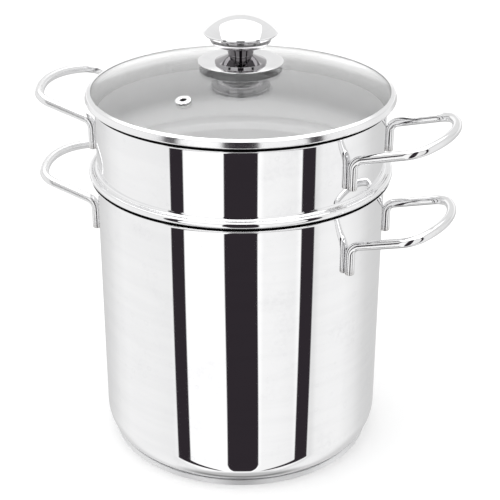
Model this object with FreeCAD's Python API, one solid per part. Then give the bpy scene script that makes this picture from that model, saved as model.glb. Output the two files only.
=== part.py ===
"""Pasta pot: tall pot, perforated insert that seats in its rim, and a domed glass lid.

Millimetres, +Z up. The origin is on the ground under the axis of the pot, and the
handles lie along X. Every thin wall is drawn as one bent sheet in section and turned
about the axis, so a fold, a bead or a flare keeps the sheet's true thickness.
"""
import FreeCAD, Part
import math
import os

# Pot
POT_BORE_RADIUS = 110.0
POT_WALL = 0.8
POT_RIM_HEIGHT = 221.3
RIM_BEND_RADIUS = 3.4
RIM_LIP = 0.95
CORNER_REACH = 11.5
CORNER_RISE = 20.0
CORNER_SPLIT_ANGLE = 45.0

# Bonded base disc under the pot
BASE_THICKNESS = 3.0
BASE_RIM_HEIGHT = 4.4
BASE_INSET = 6.3
BASE_FOOT_ROUND = 1.2
BASE_RIM_ROUND = 0.4
BASE_GAP = 0.25

# Insert
INSERT_WALL = 0.7
BASKET_CLEARANCE = 1.7
BASKET_FLOOR_HEIGHT = 28.0
BASKET_CORNER_RADIUS = 12.0
SHOULDER_BEND_RADIUS = 3.0
SEAT_CLEARANCE = 0.12
SEAT_ENTRY_ANGLE = 60.0
INSERT_SEAT_ANGLE = 35.0
BEAD_RADIUS = 2.6
BEAD_PROJECTION = 5.75
BEAD_FILLET_RADIUS = 2.0
BAND_STEP = 0.55
BAND_HEIGHT = 58.2
INSERT_RIM_BEND = 2.0
INSERT_LIP = 0.9

# Perforation of the insert
HOLE_RADIUS = 4.0
HOLE_ROWS = 6
HOLES_PER_ROW = 20
HOLE_ROW_PITCH = 26.0
FIRST_ROW_ABOVE_FLOOR = 22.0
FLOOR_RING_PITCH = 27.0
FLOOR_RINGS = 3
FLOOR_HOLES_PER_RING = 6

# Handles bent from round rod
ROD_RADIUS = 3.5
WELD_FLAT = 0.4
HANDLE_HALF_SPAN = 42.8
HANDLE_REACH = 62.0
HANDLE_RISE_ANGLE = 14.5
HANDLE_LEG_BEND_RADIUS = 8.0
HANDLE_CORNER_RADIUS = 17.4
HANDLE_CORNER_ANGLE = 60.0
HANDLE_LEG_LENGTH = 22.5
ROD_END_ROUND = 1.2
POT_HANDLE_DROP = 27.6
INSERT_HANDLE_DROP = 19.1

# Lid
BAND_SHEET = 0.5
SKIRT_CLEARANCE = 0.9
SKIRT_DEPTH = 9.0
SKIRT_BEND_RADIUS = 2.0
LID_SEAT_ANGLE = 50.0
CHANNEL_LIFT = 2.9
CHANNEL_INNER_BEND = 1.5
CHANNEL_PROJECTION = 6.75
CHANNEL_OUTER_BEND = 1.2
CHANNEL_LEAN = 18.0
CHANNEL_TOP_BEND = 1.6
CHANNEL_LIP = 2.2
LIP_START_INSET = 3.6
GLASS_THICKNESS = 4.0
GLASS_DOME_RADIUS = 350.0
GLASS_EDGE_GAP = 0.5
GLASS_EDGE_BEVEL = 0.8
BEDDING_GAP = 0.05

# Steam vent in the glass
VENT_DISTANCE = 75.0
VENT_ANGLE = -99.0
VENT_BORE_RADIUS = 2.2
VENT_SHEET = 0.5
VENT_FLANGE_RADIUS = 6.0
VENT_CURL_RADIUS = 5.0
VENT_EDGE_BEND = 0.9
VENT_BORE_BEND = 0.8
VENT_HOLE_RADIUS = 4.2
VENT_SEAL_FLANGE = 0.8
VENT_FIT = 0.1

# Knob and its fixing
SCREW_RADIUS = 2.5
SCREW_FIT = 0.2
SCREW_HEAD_RADIUS = 4.8
SCREW_HEAD_HEIGHT = 3.0
SCREW_TAIL = 1.5
RECESS_LENGTH = 5.0
RECESS_WIDTH = 1.2
RECESS_DEPTH = 1.6
KNOB_HOLE_RADIUS = 4.0
PLATE_RADIUS = 32.0
PLATE_THICKNESS = 0.8
PLATE_LIFT = 0.45
PLATE_FLAT_RADIUS = 20.5
PLATE_DISH_BEND = 4.0
PLATE_DISH_ANGLE = 6.0
PLATE_GASKET_RADIUS = 20.0
KNOB_SHEET = 0.8
FOOT_RADIUS = 19.4
FOOT_HEIGHT = 5.5
FOOT_EDGE = 0.5
FOOT_EDGE_BEND = 0.9
FOOT_TOP_BEND = 1.2
FOOT_SLOPE = 24.0
STEM_HEIGHT = 7.5
STEM_FOOT_RADIUS = 9.3
STEM_TOP_RADIUS = 11.7
STEM_GROOVE = 0.7
BOWL_RADIUS = 23.5
BOWL_HEIGHT = 7.2
CAP_RADIUS = 27.65
CAP_DOME_RADIUS = 38.7
CAP_RIM_BEND = 1.25
CAP_UNDERSIDE_ANGLE = 36.0
CAP_SEAT_LAP = 0.7
CAP_SEAT_WIDTH = 1.1
CAP_UNDERSIDE_BEND = 1.2
NUT_ACROSS_FLATS = 8.0
NUT_HEIGHT = 4.0
NUT_SIDES = 6
UNDER_GASKET_RADIUS = 11.0
UNDER_GASKET_THICKNESS = 1.5
UNDER_WASHER_RADIUS = 10.0
UNDER_WASHER_THICKNESS = 1.0

FULL_TURN = 360.0
HALF_TURN = 180.0
UPWARD = 90.0
INWARD = 180.0
AXIS_POINT = FreeCAD.Vector(0, 0, 0)
AXIS = FreeCAD.Vector(0, 0, 1)

# Sizes worked out from those above
POT_RADIUS = POT_BORE_RADIUS + POT_WALL
BASKET_RADIUS = POT_BORE_RADIUS - BASKET_CLEARANCE
BAND_RADIUS = POT_RADIUS - BAND_STEP
CHANNEL_RADIUS = BAND_RADIUS + CHANNEL_PROJECTION
SCREW_BORE = SCREW_RADIUS + SCREW_FIT


def sine(degrees):
    return math.sin(math.radians(degrees))


def cosine(degrees):
    return math.cos(math.radians(degrees))


def vector(radius, height):
    """A point of a section, in the XZ plane."""
    return FreeCAD.Vector(radius, 0, height)


def line(start, end):
    return Part.LineSegment(start, end).toShape()


def arc(start, middle, end):
    return Part.Arc(start, middle, end).toShape()


def turned(edges):
    """The solid that a closed section makes when it turns about the axis."""
    face = Part.Face(Part.Wire(edges))
    solid = face.revolve(AXIS_POINT, AXIS, FULL_TURN)
    return solid if solid.Volume > 0 else solid.reversed()


def polygon_edges(points):
    """Straight edges through (radius, height) points, closed."""
    corners = [vector(*point) for point in points]
    return [line(a, b) for a, b in zip(corners, corners[1:] + corners[:1])]


class BentSheet:
    """One face of a sheet in section: straight runs and the bends between them.

    The heading is in degrees, 0 outward from the axis and 90 upward. A bend to the
    left is positive. The sheet itself lies to the left of its drawn face.
    """

    def __init__(self, radius, height, heading, thickness):
        self.start = (radius, height, heading)
        self.thickness = thickness
        self.steps = []
        self.radius, self.height, self.heading = self.start

    def run(self, length):
        self.steps.append((length, 0.0))
        self.radius += length * cosine(self.heading)
        self.height += length * sine(self.heading)
        return self

    def run_to_radius(self, radius):
        return self.run((radius - self.radius) / cosine(self.heading))

    def run_to_height(self, height):
        return self.run((height - self.height) / sine(self.heading))

    def bend(self, bend_radius, turn):
        self.steps.append((bend_radius, turn))
        end = bend_end((self.radius, self.height), self.heading, bend_radius, turn)
        self.radius, self.height = end
        self.heading += turn
        return self

    def face_edges(self, offset):
        """Edges of the face that lies the offset to the left of the drawn one."""
        radius, height, heading = self.start
        point = (radius - offset * sine(heading), height + offset * cosine(heading))
        edges = []
        for size, turn in self.steps:
            first = point
            if turn:
                size -= math.copysign(offset, turn)
                middle = bend_end(first, heading, size, turn / 2)
                point = bend_end(first, heading, size, turn)
                edges.append(arc(vector(*first), vector(*middle), vector(*point)))
            else:
                point = (first[0] + size * cosine(heading), first[1] + size * sine(heading))
                edges.append(line(vector(*first), vector(*point)))
            heading += turn
        return edges

    def solid(self, round_start=False, round_end=True):
        """The turned sheet, with each free edge rounded or cut square."""
        near = self.face_edges(0.0)
        far = self.face_edges(self.thickness)
        starts = (near[0].firstVertex().Point, far[0].firstVertex().Point)
        ends = (near[-1].lastVertex().Point, far[-1].lastVertex().Point)
        start_cap = edge_cap(starts, self.start[2] + HALF_TURN, round_start)
        end_cap = edge_cap(ends, self.heading, round_end)
        return turned(near + [end_cap] + far[::-1] + [start_cap])


def bend_end(point, heading, bend_radius, turn):
    """Where a bend that starts at the point ends."""
    side = math.copysign(bend_radius, turn)
    last = heading + turn
    return (point[0] + side * (sine(last) - sine(heading)),
            point[1] + side * (cosine(heading) - cosine(last)))


def edge_cap(points, heading, rounded):
    """The edge that closes a sheet between its two faces."""
    first, second = points
    if not rounded:
        return line(first, second)
    reach = first.distanceToPoint(second) / 2
    tip = (first + second) * 0.5 + vector(reach * cosine(heading), reach * sine(heading))
    return arc(first, tip, second)


class Rim:
    """The rounded upper face of a flared rim, on which the next vessel sits."""

    def __init__(self, centre_radius, centre_height, face_radius):
        self.centre_radius = centre_radius
        self.centre_height = centre_height
        self.seat_radius = face_radius + SEAT_CLEARANCE

    def point(self, heading):
        """Where the seating face touches the rim when it runs in this heading."""
        return (self.centre_radius - self.seat_radius * sine(heading),
                self.centre_height + self.seat_radius * cosine(heading))


def climb_rim(sheet, rim, shoulder_radius, seat_angle):
    """Carry an upright wall out over a rim, so that it hangs from the rim's bend."""
    swing = UPWARD - SEAT_ENTRY_ANGLE
    contact_radius, contact_height = rim.point(SEAT_ENTRY_ANGLE)
    shoulder_out = shoulder_radius * (1 - cosine(swing))
    slant = (contact_radius - sheet.radius - shoulder_out) / cosine(SEAT_ENTRY_ANGLE)
    shoulder_up = shoulder_radius * sine(swing) + slant * sine(SEAT_ENTRY_ANGLE)
    sheet.run_to_height(contact_height - shoulder_up)
    sheet.bend(shoulder_radius, -swing).run(slant)
    sheet.bend(rim.seat_radius, seat_angle - SEAT_ENTRY_ANGLE)


def pot_sheet():
    split = CORNER_SPLIT_ANGLE
    wall_bend = ((CORNER_RISE * cosine(split) - CORNER_REACH * (1 - sine(split)))
                 / (sine(split) * cosine(split) - (1 - cosine(split)) * (1 - sine(split))))
    floor_bend = (CORNER_REACH - wall_bend * (1 - cosine(split))) / cosine(split)
    sheet = BentSheet(0.0, BASE_THICKNESS, 0.0, POT_WALL)
    sheet.run_to_radius(POT_RADIUS - CORNER_REACH)
    sheet.bend(floor_bend, UPWARD - split).bend(wall_bend, split)
    sheet.run_to_height(POT_RIM_HEIGHT - POT_WALL - RIM_BEND_RADIUS)
    return sheet, floor_bend


def pot_rim():
    return Rim(POT_RADIUS + RIM_BEND_RADIUS, POT_RIM_HEIGHT - POT_WALL - RIM_BEND_RADIUS,
               RIM_BEND_RADIUS + POT_WALL)


def make_pot_shell():
    sheet = pot_sheet()[0]
    sheet.bend(RIM_BEND_RADIUS, -UPWARD).run(RIM_LIP)
    return sheet.solid()


def make_base_disc():
    """A flat disc whose upturned edge follows the rounded corner of the pot."""
    floor_bend = pot_sheet()[1]
    centre_radius = POT_RADIUS - CORNER_REACH
    centre_height = BASE_THICKNESS + floor_bend
    hollow = floor_bend + BASE_GAP
    outer = POT_RADIUS - BASE_INSET

    def on_hollow(height):
        return (centre_radius + math.sqrt(hollow ** 2 - (centre_height - height) ** 2), height)

    low, high = on_hollow(BASE_THICKNESS), on_hollow(BASE_RIM_HEIGHT)
    middle = on_hollow((BASE_THICKNESS + BASE_RIM_HEIGHT) / 2)
    edges = polygon_edges([(0, BASE_THICKNESS), (0, 0), (outer, 0), (outer, BASE_RIM_HEIGHT), high])
    closing = edges.pop()
    edges.append(arc(closing.firstVertex().Point, vector(*middle), vector(*low)))
    edges.append(line(vector(*low), vector(0, BASE_THICKNESS)))
    disc = turned(edges)
    disc = rounded(disc, outer, 0.0, BASE_FOOT_ROUND)
    return rounded(disc, outer, BASE_RIM_HEIGHT, BASE_RIM_ROUND)


def rounded(solid, radius, height, fillet):
    """Round the circular edge of this radius at this height."""
    reach = FreeCAD.Vector(0, 0, height)
    edges = [edge for edge in solid.Edges
             if hasattr(edge.Curve, "Radius") and abs(edge.Curve.Radius - radius) < 1e-6
             and edge.Curve.Center.distanceToPoint(reach) < 1e-6]
    return solid.makeFillet(fillet, edges)


def insert_sheet():
    """The drawn insert up to the top of its plain band."""
    sheet = BentSheet(0.0, BASKET_FLOOR_HEIGHT, 0.0, INSERT_WALL)
    sheet.run_to_radius(BASKET_RADIUS - BASKET_CORNER_RADIUS)
    sheet.bend(BASKET_CORNER_RADIUS, UPWARD)
    climb_rim(sheet, pot_rim(), SHOULDER_BEND_RADIUS, INSERT_SEAT_ANGLE)
    bead_centre = POT_RADIUS + BEAD_PROJECTION - BEAD_RADIUS
    sheet.run_to_radius(bead_centre + BEAD_RADIUS * sine(INSERT_SEAT_ANGLE))
    leave = math.degrees(math.acos((BAND_RADIUS + BEAD_FILLET_RADIUS - bead_centre)
                                   / (BEAD_RADIUS + BEAD_FILLET_RADIUS)))
    sheet.bend(BEAD_RADIUS, UPWARD + leave - INSERT_SEAT_ANGLE)
    sheet.bend(BEAD_FILLET_RADIUS, -leave)
    return sheet


def insert_rim_height():
    return POT_RIM_HEIGHT + BAND_HEIGHT


def insert_rim_bend_height():
    return insert_rim_height() - INSERT_WALL - INSERT_RIM_BEND


def insert_rim():
    return Rim(BAND_RADIUS + INSERT_RIM_BEND, insert_rim_bend_height(), INSERT_RIM_BEND + INSERT_WALL)


def wall_drills():
    """Radial drills for the staggered rows in the basket wall."""
    step = FULL_TURN / HOLES_PER_ROW
    drills = []
    for row in range(HOLE_ROWS):
        height = BASKET_FLOOR_HEIGHT + FIRST_ROW_ABOVE_FLOOR + row * HOLE_ROW_PITCH
        for index in range(HOLES_PER_ROW):
            angle = step * (index + 0.5 * (row % 2))
            outward = FreeCAD.Vector(cosine(angle), sine(angle), 0)
            start = outward * (BASKET_RADIUS / 2) + FreeCAD.Vector(0, 0, height)
            drills.append(Part.makeCylinder(HOLE_RADIUS, BASKET_RADIUS, start, outward))
    return drills


def floor_drills():
    """Upright drills for the rings of holes in the basket floor."""
    start = BASKET_FLOOR_HEIGHT - INSERT_WALL
    depth = 3 * INSERT_WALL
    drills = [Part.makeCylinder(HOLE_RADIUS, depth, FreeCAD.Vector(0, 0, start), AXIS)]
    for ring in range(1, FLOOR_RINGS + 1):
        count = ring * FLOOR_HOLES_PER_RING
        for index in range(count):
            angle = FULL_TURN * index / count
            centre = FreeCAD.Vector(cosine(angle), sine(angle), 0) * (ring * FLOOR_RING_PITCH)
            centre.z = start
            drills.append(Part.makeCylinder(HOLE_RADIUS, depth, centre, AXIS))
    return drills


def make_insert_shell():
    sheet = insert_sheet()
    sheet.run_to_height(insert_rim_bend_height())
    sheet.bend(INSERT_RIM_BEND, -UPWARD).run(INSERT_LIP)
    return sheet.solid().cut(wall_drills() + floor_drills())


def handle_path(wall_radius, corner_height):
    """Centre line of one bent rod: leg, loop and leg, tangent all the way."""
    leg_axis = wall_radius + ROD_RADIUS - WELD_FLAT
    leg_out = math.sqrt(leg_axis ** 2 - HANDLE_HALF_SPAN ** 2)
    outward = FreeCAD.Vector(cosine(HANDLE_RISE_ANGLE), 0, sine(HANDLE_RISE_ANGLE))
    across = FreeCAD.Vector(0, 1, 0)
    corner = FreeCAD.Vector(leg_out, -HANDLE_HALF_SPAN, corner_height)
    turn = UPWARD - HANDLE_RISE_ANGLE
    trim = HANDLE_LEG_BEND_RADIUS * math.tan(math.radians(turn / 2))
    tip_radius = ((HANDLE_HALF_SPAN - HANDLE_CORNER_RADIUS * (1 - cosine(HANDLE_CORNER_ANGLE)))
                  / cosine(HANDLE_CORNER_ANGLE))
    loop_depth = (HANDLE_CORNER_RADIUS * sine(HANDLE_CORNER_ANGLE)
                  + tip_radius * (1 - sine(HANDLE_CORNER_ANGLE)))
    straight = HANDLE_REACH - loop_depth - trim

    def leg(side):
        foot = FreeCAD.Vector(corner.x, side * corner.y, corner.z)
        bottom = foot - AXIS * HANDLE_LEG_LENGTH
        low = foot - AXIS * trim
        high = foot + outward * trim
        inside = foot + (outward - AXIS).normalize() * leg_bend_rise(turn)
        return [line(bottom, low), arc(low, inside, high)]

    loop = BentSheet(0.0, 0.0, 0.0, 0.0)
    loop.run(straight).bend(HANDLE_CORNER_RADIUS, HANDLE_CORNER_ANGLE)
    loop.bend(tip_radius, HALF_TURN - 2 * HANDLE_CORNER_ANGLE)
    loop.bend(HANDLE_CORNER_RADIUS, HANDLE_CORNER_ANGLE).run(straight)
    origin = corner + outward * trim
    placed = [place_edge(edge, origin, outward, across) for edge in loop.face_edges(0.0)]
    return leg(1) + placed + leg(-1)[::-1]


def leg_bend_rise(turn):
    """How far the middle of the leg's bend stands off its sharp corner."""
    return HANDLE_LEG_BEND_RADIUS * (1 / cosine(turn / 2) - 1)


def place_edge(edge, origin, outward, across):
    """Carry an edge of the flat loop into the tilted plane of the handle."""
    upright = outward.cross(across)
    matrix = FreeCAD.Matrix(outward.x, -upright.x, across.x, origin.x,
                            outward.y, -upright.y, across.y, origin.y,
                            outward.z, -upright.z, across.z, origin.z)
    moved = edge.copy()
    moved.Placement = FreeCAD.Placement(matrix)
    return moved


def make_handle(wall_radius, corner_height, side):
    """One rod handle, pressed flat where its legs are welded to the wall."""
    path = Part.Wire(handle_path(wall_radius, corner_height))
    start = path.OrderedVertexes[0].Point
    ring = Part.Wire(Part.Circle(start, AXIS, ROD_RADIUS).toShape())
    rod = path.makePipeShell([ring], True, False)
    ends = [edge for edge in rod.Edges if edge.BoundBox.ZLength < 1e-6
            and abs(edge.BoundBox.ZMax - start.z) < 1e-6]
    rod = rod.makeFillet(ROD_END_ROUND, ends)
    reach = HANDLE_LEG_LENGTH + 2 * ROD_RADIUS
    wall = Part.makeCylinder(wall_radius, 2 * reach, FreeCAD.Vector(0, 0, corner_height - reach), AXIS)
    rod = rod.cut(wall)
    if side < 0:
        rod.rotate(AXIS_POINT, AXIS, HALF_TURN)
    return rod


class LidSizes:
    """Heights of the lid that follow from the rim it sits on."""

    def __init__(self):
        self.channel_height = insert_rim_height() + CHANNEL_LIFT
        self.glass_edge_radius = CHANNEL_RADIUS - BAND_SHEET - GLASS_EDGE_GAP - CHANNEL_OUTER_BEND
        seat = self.channel_height + BAND_SHEET + BEDDING_GAP
        under_radius = GLASS_DOME_RADIUS - GLASS_THICKNESS
        self.dome_centre = seat - math.sqrt(under_radius ** 2 - self.glass_edge_radius ** 2)
        self.glass_top = self.dome_centre + GLASS_DOME_RADIUS
        self.glass_under = self.glass_top - GLASS_THICKNESS
        self.plate_under = self.glass_top + PLATE_LIFT
        self.plate_top = self.plate_under + PLATE_THICKNESS
        self.foot_top = self.plate_top + FOOT_HEIGHT
        self.stem_top = self.foot_top + STEM_HEIGHT
        self.bowl_top = self.stem_top + BOWL_HEIGHT
        sag = under_radius - math.sqrt(under_radius ** 2 - UNDER_GASKET_RADIUS ** 2)
        self.under_gasket_top = self.glass_under - sag - BEDDING_GAP
        self.under_gasket_foot = self.under_gasket_top - UNDER_GASKET_THICKNESS
        self.under_washer_foot = self.under_gasket_foot - UNDER_WASHER_THICKNESS

    def dome_height(self, radius, offset=0.0):
        """Height of the glass dome, or of a face that lies the offset outside it."""
        reach = GLASS_DOME_RADIUS + offset
        return self.dome_centre + math.sqrt(reach ** 2 - radius ** 2)


def make_lid_rim_band(lid):
    """Rolled ring: skirt, seat on the insert's rim, channel and lip over the glass."""
    skirt_radius = BAND_RADIUS - INSERT_WALL - SKIRT_CLEARANCE
    sheet = BentSheet(skirt_radius, insert_rim_height() - SKIRT_DEPTH, UPWARD, BAND_SHEET)
    climb_rim(sheet, insert_rim(), SKIRT_BEND_RADIUS, LID_SEAT_ANGLE)
    sheet.run_to_height(lid.channel_height - CHANNEL_INNER_BEND * (1 - cosine(LID_SEAT_ANGLE)))
    sheet.bend(CHANNEL_INNER_BEND, -LID_SEAT_ANGLE)
    sheet.run_to_radius(CHANNEL_RADIUS - CHANNEL_OUTER_BEND)
    sheet.bend(CHANNEL_OUTER_BEND, UPWARD + CHANNEL_LEAN)
    lip_radius = CHANNEL_RADIUS - LIP_START_INSET
    offset = BAND_SHEET + BEDDING_GAP
    slope = math.degrees(math.asin(lip_radius / (GLASS_DOME_RADIUS + offset)))
    lip_heading = INWARD - slope
    lip_point = (lip_radius, lid.dome_height(lip_radius, offset))
    turn = lip_heading - sheet.heading
    after = bend_end((sheet.radius, sheet.height), sheet.heading, CHANNEL_TOP_BEND, turn)
    normal = (-sine(lip_heading), cosine(lip_heading))
    short = ((lip_point[0] - after[0]) * normal[0] + (lip_point[1] - after[1]) * normal[1])
    advance = cosine(sheet.heading) * normal[0] + sine(sheet.heading) * normal[1]
    sheet.run(short / advance).bend(CHANNEL_TOP_BEND, turn).run(CHANNEL_LIP)
    return sheet.solid(round_start=True)


def dome_arc(lid, inner, outer, offset):
    """Arc of the dome between two radii, the offset outside its top face."""
    points = [vector(radius, lid.dome_height(radius, offset))
              for radius in (inner, (inner + outer) / 2, outer)]
    return arc(*points)


def make_lid_glass(lid):
    """Domed glass with a bevelled edge and holes for the knob and the vent."""
    edge = lid.glass_edge_radius
    top_edge = edge - GLASS_EDGE_BEVEL
    upper = dome_arc(lid, KNOB_HOLE_RADIUS, top_edge, 0.0)
    lower = dome_arc(lid, KNOB_HOLE_RADIUS, edge, -GLASS_THICKNESS)
    shoulder = vector(edge, upper.lastVertex().Point.z - GLASS_EDGE_BEVEL)
    edges = [upper, line(upper.lastVertex().Point, shoulder), line(shoulder, lower.lastVertex().Point),
             lower, line(lower.firstVertex().Point, upper.firstVertex().Point)]
    glass = turned(edges)
    drill = Part.makeCylinder(VENT_HOLE_RADIUS, 4 * GLASS_THICKNESS,
                              FreeCAD.Vector(0, 0, -2 * GLASS_THICKNESS), AXIS)
    return glass.cut(on_vent(lid, drill))


def on_vent(lid, shape):
    """Stand a shape, made about the axis at height 0, square on the glass at the vent."""
    tilt = math.degrees(math.asin(VENT_DISTANCE / GLASS_DOME_RADIUS))
    placed = shape.copy()
    placed.rotate(AXIS_POINT, FreeCAD.Vector(0, 1, 0), tilt)
    placed.translate(FreeCAD.Vector(VENT_DISTANCE, 0, lid.dome_height(VENT_DISTANCE)))
    placed.rotate(AXIS_POINT, AXIS, VENT_ANGLE)
    return placed


def make_vent_seal():
    """Silicone grommet with a flange above and below the glass."""
    inner = VENT_BORE_RADIUS + VENT_SHEET + VENT_FIT
    neck = VENT_HOLE_RADIUS - VENT_FIT
    flange = VENT_FLANGE_RADIUS - VENT_EDGE_BEND - VENT_FIT
    relief = VENT_BORE_BEND - VENT_SHEET
    top_gap, under = VENT_FIT, -GLASS_THICKNESS - VENT_FIT
    top, foot = top_gap + VENT_SEAL_FLANGE, under - VENT_SEAL_FLANGE
    return turned(polygon_edges([
        (inner + relief, foot), (flange, foot), (flange, under), (neck, under), (neck, top_gap),
        (flange, top_gap), (flange, top), (inner + relief, top), (inner, top - relief),
        (inner, foot + relief)]))


def make_vent_eyelet():
    """Hollow rivet: a flange with a turned-down edge, the barrel and a flared foot."""
    top = VENT_FIT + VENT_SEAL_FLANGE + VENT_SHEET
    foot = -GLASS_THICKNESS - top
    sheet = BentSheet(VENT_FLANGE_RADIUS, top - VENT_EDGE_BEND, UPWARD, VENT_SHEET)
    sheet.bend(VENT_EDGE_BEND, UPWARD).run_to_radius(VENT_BORE_RADIUS + VENT_BORE_BEND)
    sheet.bend(VENT_BORE_BEND, UPWARD).run_to_height(foot + VENT_BORE_BEND)
    sheet.bend(VENT_BORE_BEND, UPWARD).run_to_radius(VENT_CURL_RADIUS)
    return sheet.solid(round_start=True)


def ring(inner, outer, low, high):
    return turned(polygon_edges([(inner, low), (outer, low), (outer, high), (inner, high)]))


def make_knob_plate(lid):
    """Wide plate, flat under the foot and dished up towards its rounded edge."""
    sheet = BentSheet(SCREW_BORE, lid.plate_under, 0.0, PLATE_THICKNESS)
    sheet.run_to_radius(PLATE_FLAT_RADIUS).bend(PLATE_DISH_BEND, PLATE_DISH_ANGLE)
    sheet.run_to_radius(PLATE_RADIUS - PLATE_THICKNESS / 2)
    return sheet.solid()


def make_knob_plate_gasket(lid):
    """Soft disc that fills the space between the plate and the dome."""
    hollow = dome_arc(lid, SCREW_BORE, PLATE_GASKET_RADIUS, BEDDING_GAP)
    inner, outer = hollow.firstVertex().Point, hollow.lastVertex().Point
    high_inner = vector(SCREW_BORE, lid.plate_under)
    high_outer = vector(PLATE_GASKET_RADIUS, lid.plate_under)
    return turned([hollow, line(outer, high_outer), line(high_outer, high_inner), line(high_inner, inner)])


def make_knob_foot(lid):
    """Flared foot pressed from sheet, with a flat top for the stem."""
    sheet = BentSheet(FOOT_RADIUS, lid.plate_top, UPWARD, KNOB_SHEET)
    sheet.run(FOOT_EDGE).bend(FOOT_EDGE_BEND, UPWARD - FOOT_SLOPE)
    rise = lid.foot_top - FOOT_TOP_BEND * (1 - cosine(FOOT_SLOPE))
    sheet.run_to_height(rise).bend(FOOT_TOP_BEND, FOOT_SLOPE)
    sheet.run_to_radius(SCREW_BORE)
    return sheet.solid(round_end=False)


def make_knob_stem(lid):
    """Turned collar, wider at the top, with a groove at its foot."""
    waist = STEM_FOOT_RADIUS - STEM_GROOVE
    return turned(polygon_edges([
        (SCREW_BORE, lid.foot_top), (waist, lid.foot_top), (waist, lid.foot_top + STEM_GROOVE),
        (STEM_FOOT_RADIUS, lid.foot_top + STEM_GROOVE), (STEM_TOP_RADIUS, lid.stem_top),
        (SCREW_BORE, lid.stem_top)]))


def make_knob_bowl(lid):
    sheet = BentSheet(SCREW_BORE, lid.stem_top, 0.0, KNOB_SHEET)
    sheet.run_to_radius(BOWL_RADIUS - BOWL_HEIGHT).bend(BOWL_HEIGHT, UPWARD)
    return sheet.solid(round_end=False)


def make_knob_cap(lid):
    """Domed cap whose rim is rolled in to rest on the edge of the bowl."""
    lean = CAP_UNDERSIDE_ANGLE
    rim_centre = CAP_RADIUS - CAP_RIM_BEND
    dome_angle = math.degrees(math.asin(rim_centre / (CAP_DOME_RADIUS - CAP_RIM_BEND)))
    sheet = BentSheet(BOWL_RADIUS - CAP_SEAT_LAP, lid.bowl_top, 0.0, KNOB_SHEET)
    sheet.run_to_radius(BOWL_RADIUS + CAP_SEAT_WIDTH).bend(CAP_UNDERSIDE_BEND, lean)
    sheet.run_to_radius(rim_centre + CAP_RIM_BEND * sine(lean))
    sheet.bend(CAP_RIM_BEND, INWARD - dome_angle - lean)
    sheet.bend(CAP_DOME_RADIUS, dome_angle)
    return sheet.solid(round_end=False)


def make_knob_nut(lid):
    """Hexagon nut that holds the bowl, stem and foot on the screw."""
    low = lid.stem_top + KNOB_SHEET
    corner = NUT_ACROSS_FLATS / 2 / cosine(FULL_TURN / NUT_SIDES / 2)
    angles = [FULL_TURN * side / NUT_SIDES for side in range(NUT_SIDES + 1)]
    outline = [FreeCAD.Vector(corner * cosine(a), corner * sine(a), low) for a in angles]
    prism = Part.Face(Part.makePolygon(outline)).extrude(AXIS * NUT_HEIGHT)
    bore = Part.makeCylinder(SCREW_BORE, NUT_HEIGHT, FreeCAD.Vector(0, 0, low), AXIS)
    return prism.cut(bore)


def make_knob_screw(lid):
    """Pan-head screw with a cross recess, from under the glass up into the nut."""
    seat = lid.under_washer_foot
    top = lid.stem_top + KNOB_SHEET + NUT_HEIGHT + SCREW_TAIL
    head = seat - SCREW_HEAD_HEIGHT
    screw = turned(polygon_edges([
        (0, head), (SCREW_HEAD_RADIUS, head), (SCREW_HEAD_RADIUS, seat), (SCREW_RADIUS, seat),
        (SCREW_RADIUS, top), (0, top)]))
    screw = rounded(screw, SCREW_HEAD_RADIUS, head, SCREW_HEAD_HEIGHT / 2)
    along, across = RECESS_LENGTH / 2, RECESS_WIDTH / 2
    slot = Part.makeBox(RECESS_LENGTH, RECESS_WIDTH, RECESS_DEPTH, FreeCAD.Vector(-along, -across, head))
    cross = Part.makeBox(RECESS_WIDTH, RECESS_LENGTH, RECESS_DEPTH, FreeCAD.Vector(-across, -along, head))
    return screw.cut(slot.fuse(cross))


def build():
    lid = LidSizes()
    pot_corner = POT_RIM_HEIGHT - POT_HANDLE_DROP
    insert_corner = insert_rim_height() - INSERT_HANDLE_DROP
    washer_top = lid.under_gasket_foot
    return {
        "pot_shell": make_pot_shell(),
        "pot_base_disc": make_base_disc(),
        "pot_handle_right": make_handle(POT_RADIUS, pot_corner, 1),
        "pot_handle_left": make_handle(POT_RADIUS, pot_corner, -1),
        "insert_shell": make_insert_shell(),
        "insert_handle_right": make_handle(BAND_RADIUS, insert_corner, 1),
        "insert_handle_left": make_handle(BAND_RADIUS, insert_corner, -1),
        "lid_rim_band": make_lid_rim_band(lid),
        "lid_glass": make_lid_glass(lid),
        "vent_seal": on_vent(lid, make_vent_seal()),
        "vent_eyelet": on_vent(lid, make_vent_eyelet()),
        "knob_plate_gasket": make_knob_plate_gasket(lid),
        "knob_plate": make_knob_plate(lid),
        "knob_foot": make_knob_foot(lid),
        "knob_stem": make_knob_stem(lid),
        "knob_bowl": make_knob_bowl(lid),
        "knob_cap": make_knob_cap(lid),
        "knob_nut": make_knob_nut(lid),
        "knob_screw": make_knob_screw(lid),
        "knob_under_gasket": ring(SCREW_BORE, UNDER_GASKET_RADIUS, lid.under_gasket_foot,
                                  lid.under_gasket_top),
        "knob_under_washer": ring(SCREW_BORE, UNDER_WASHER_RADIUS, lid.under_washer_foot, washer_top),
    }


def main():
    os.makedirs("parts", exist_ok=True)
    for name, shape in build().items():
        solids = shape.Solids
        kept = solids[0] if len(solids) == 1 else shape
        kept.exportStep(os.path.join("parts", name + ".step"))
        box = kept.BoundBox
        print(f"{name}: {len(solids)} solid, valid {kept.isValid()}, {kept.Volume / 1000:.2f} cm3, "
              f"x {box.XMin:.1f}..{box.XMax:.1f}, y {box.YMin:.1f}..{box.YMax:.1f}, "
              f"z {box.ZMin:.1f}..{box.ZMax:.1f}")


main()
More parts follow.
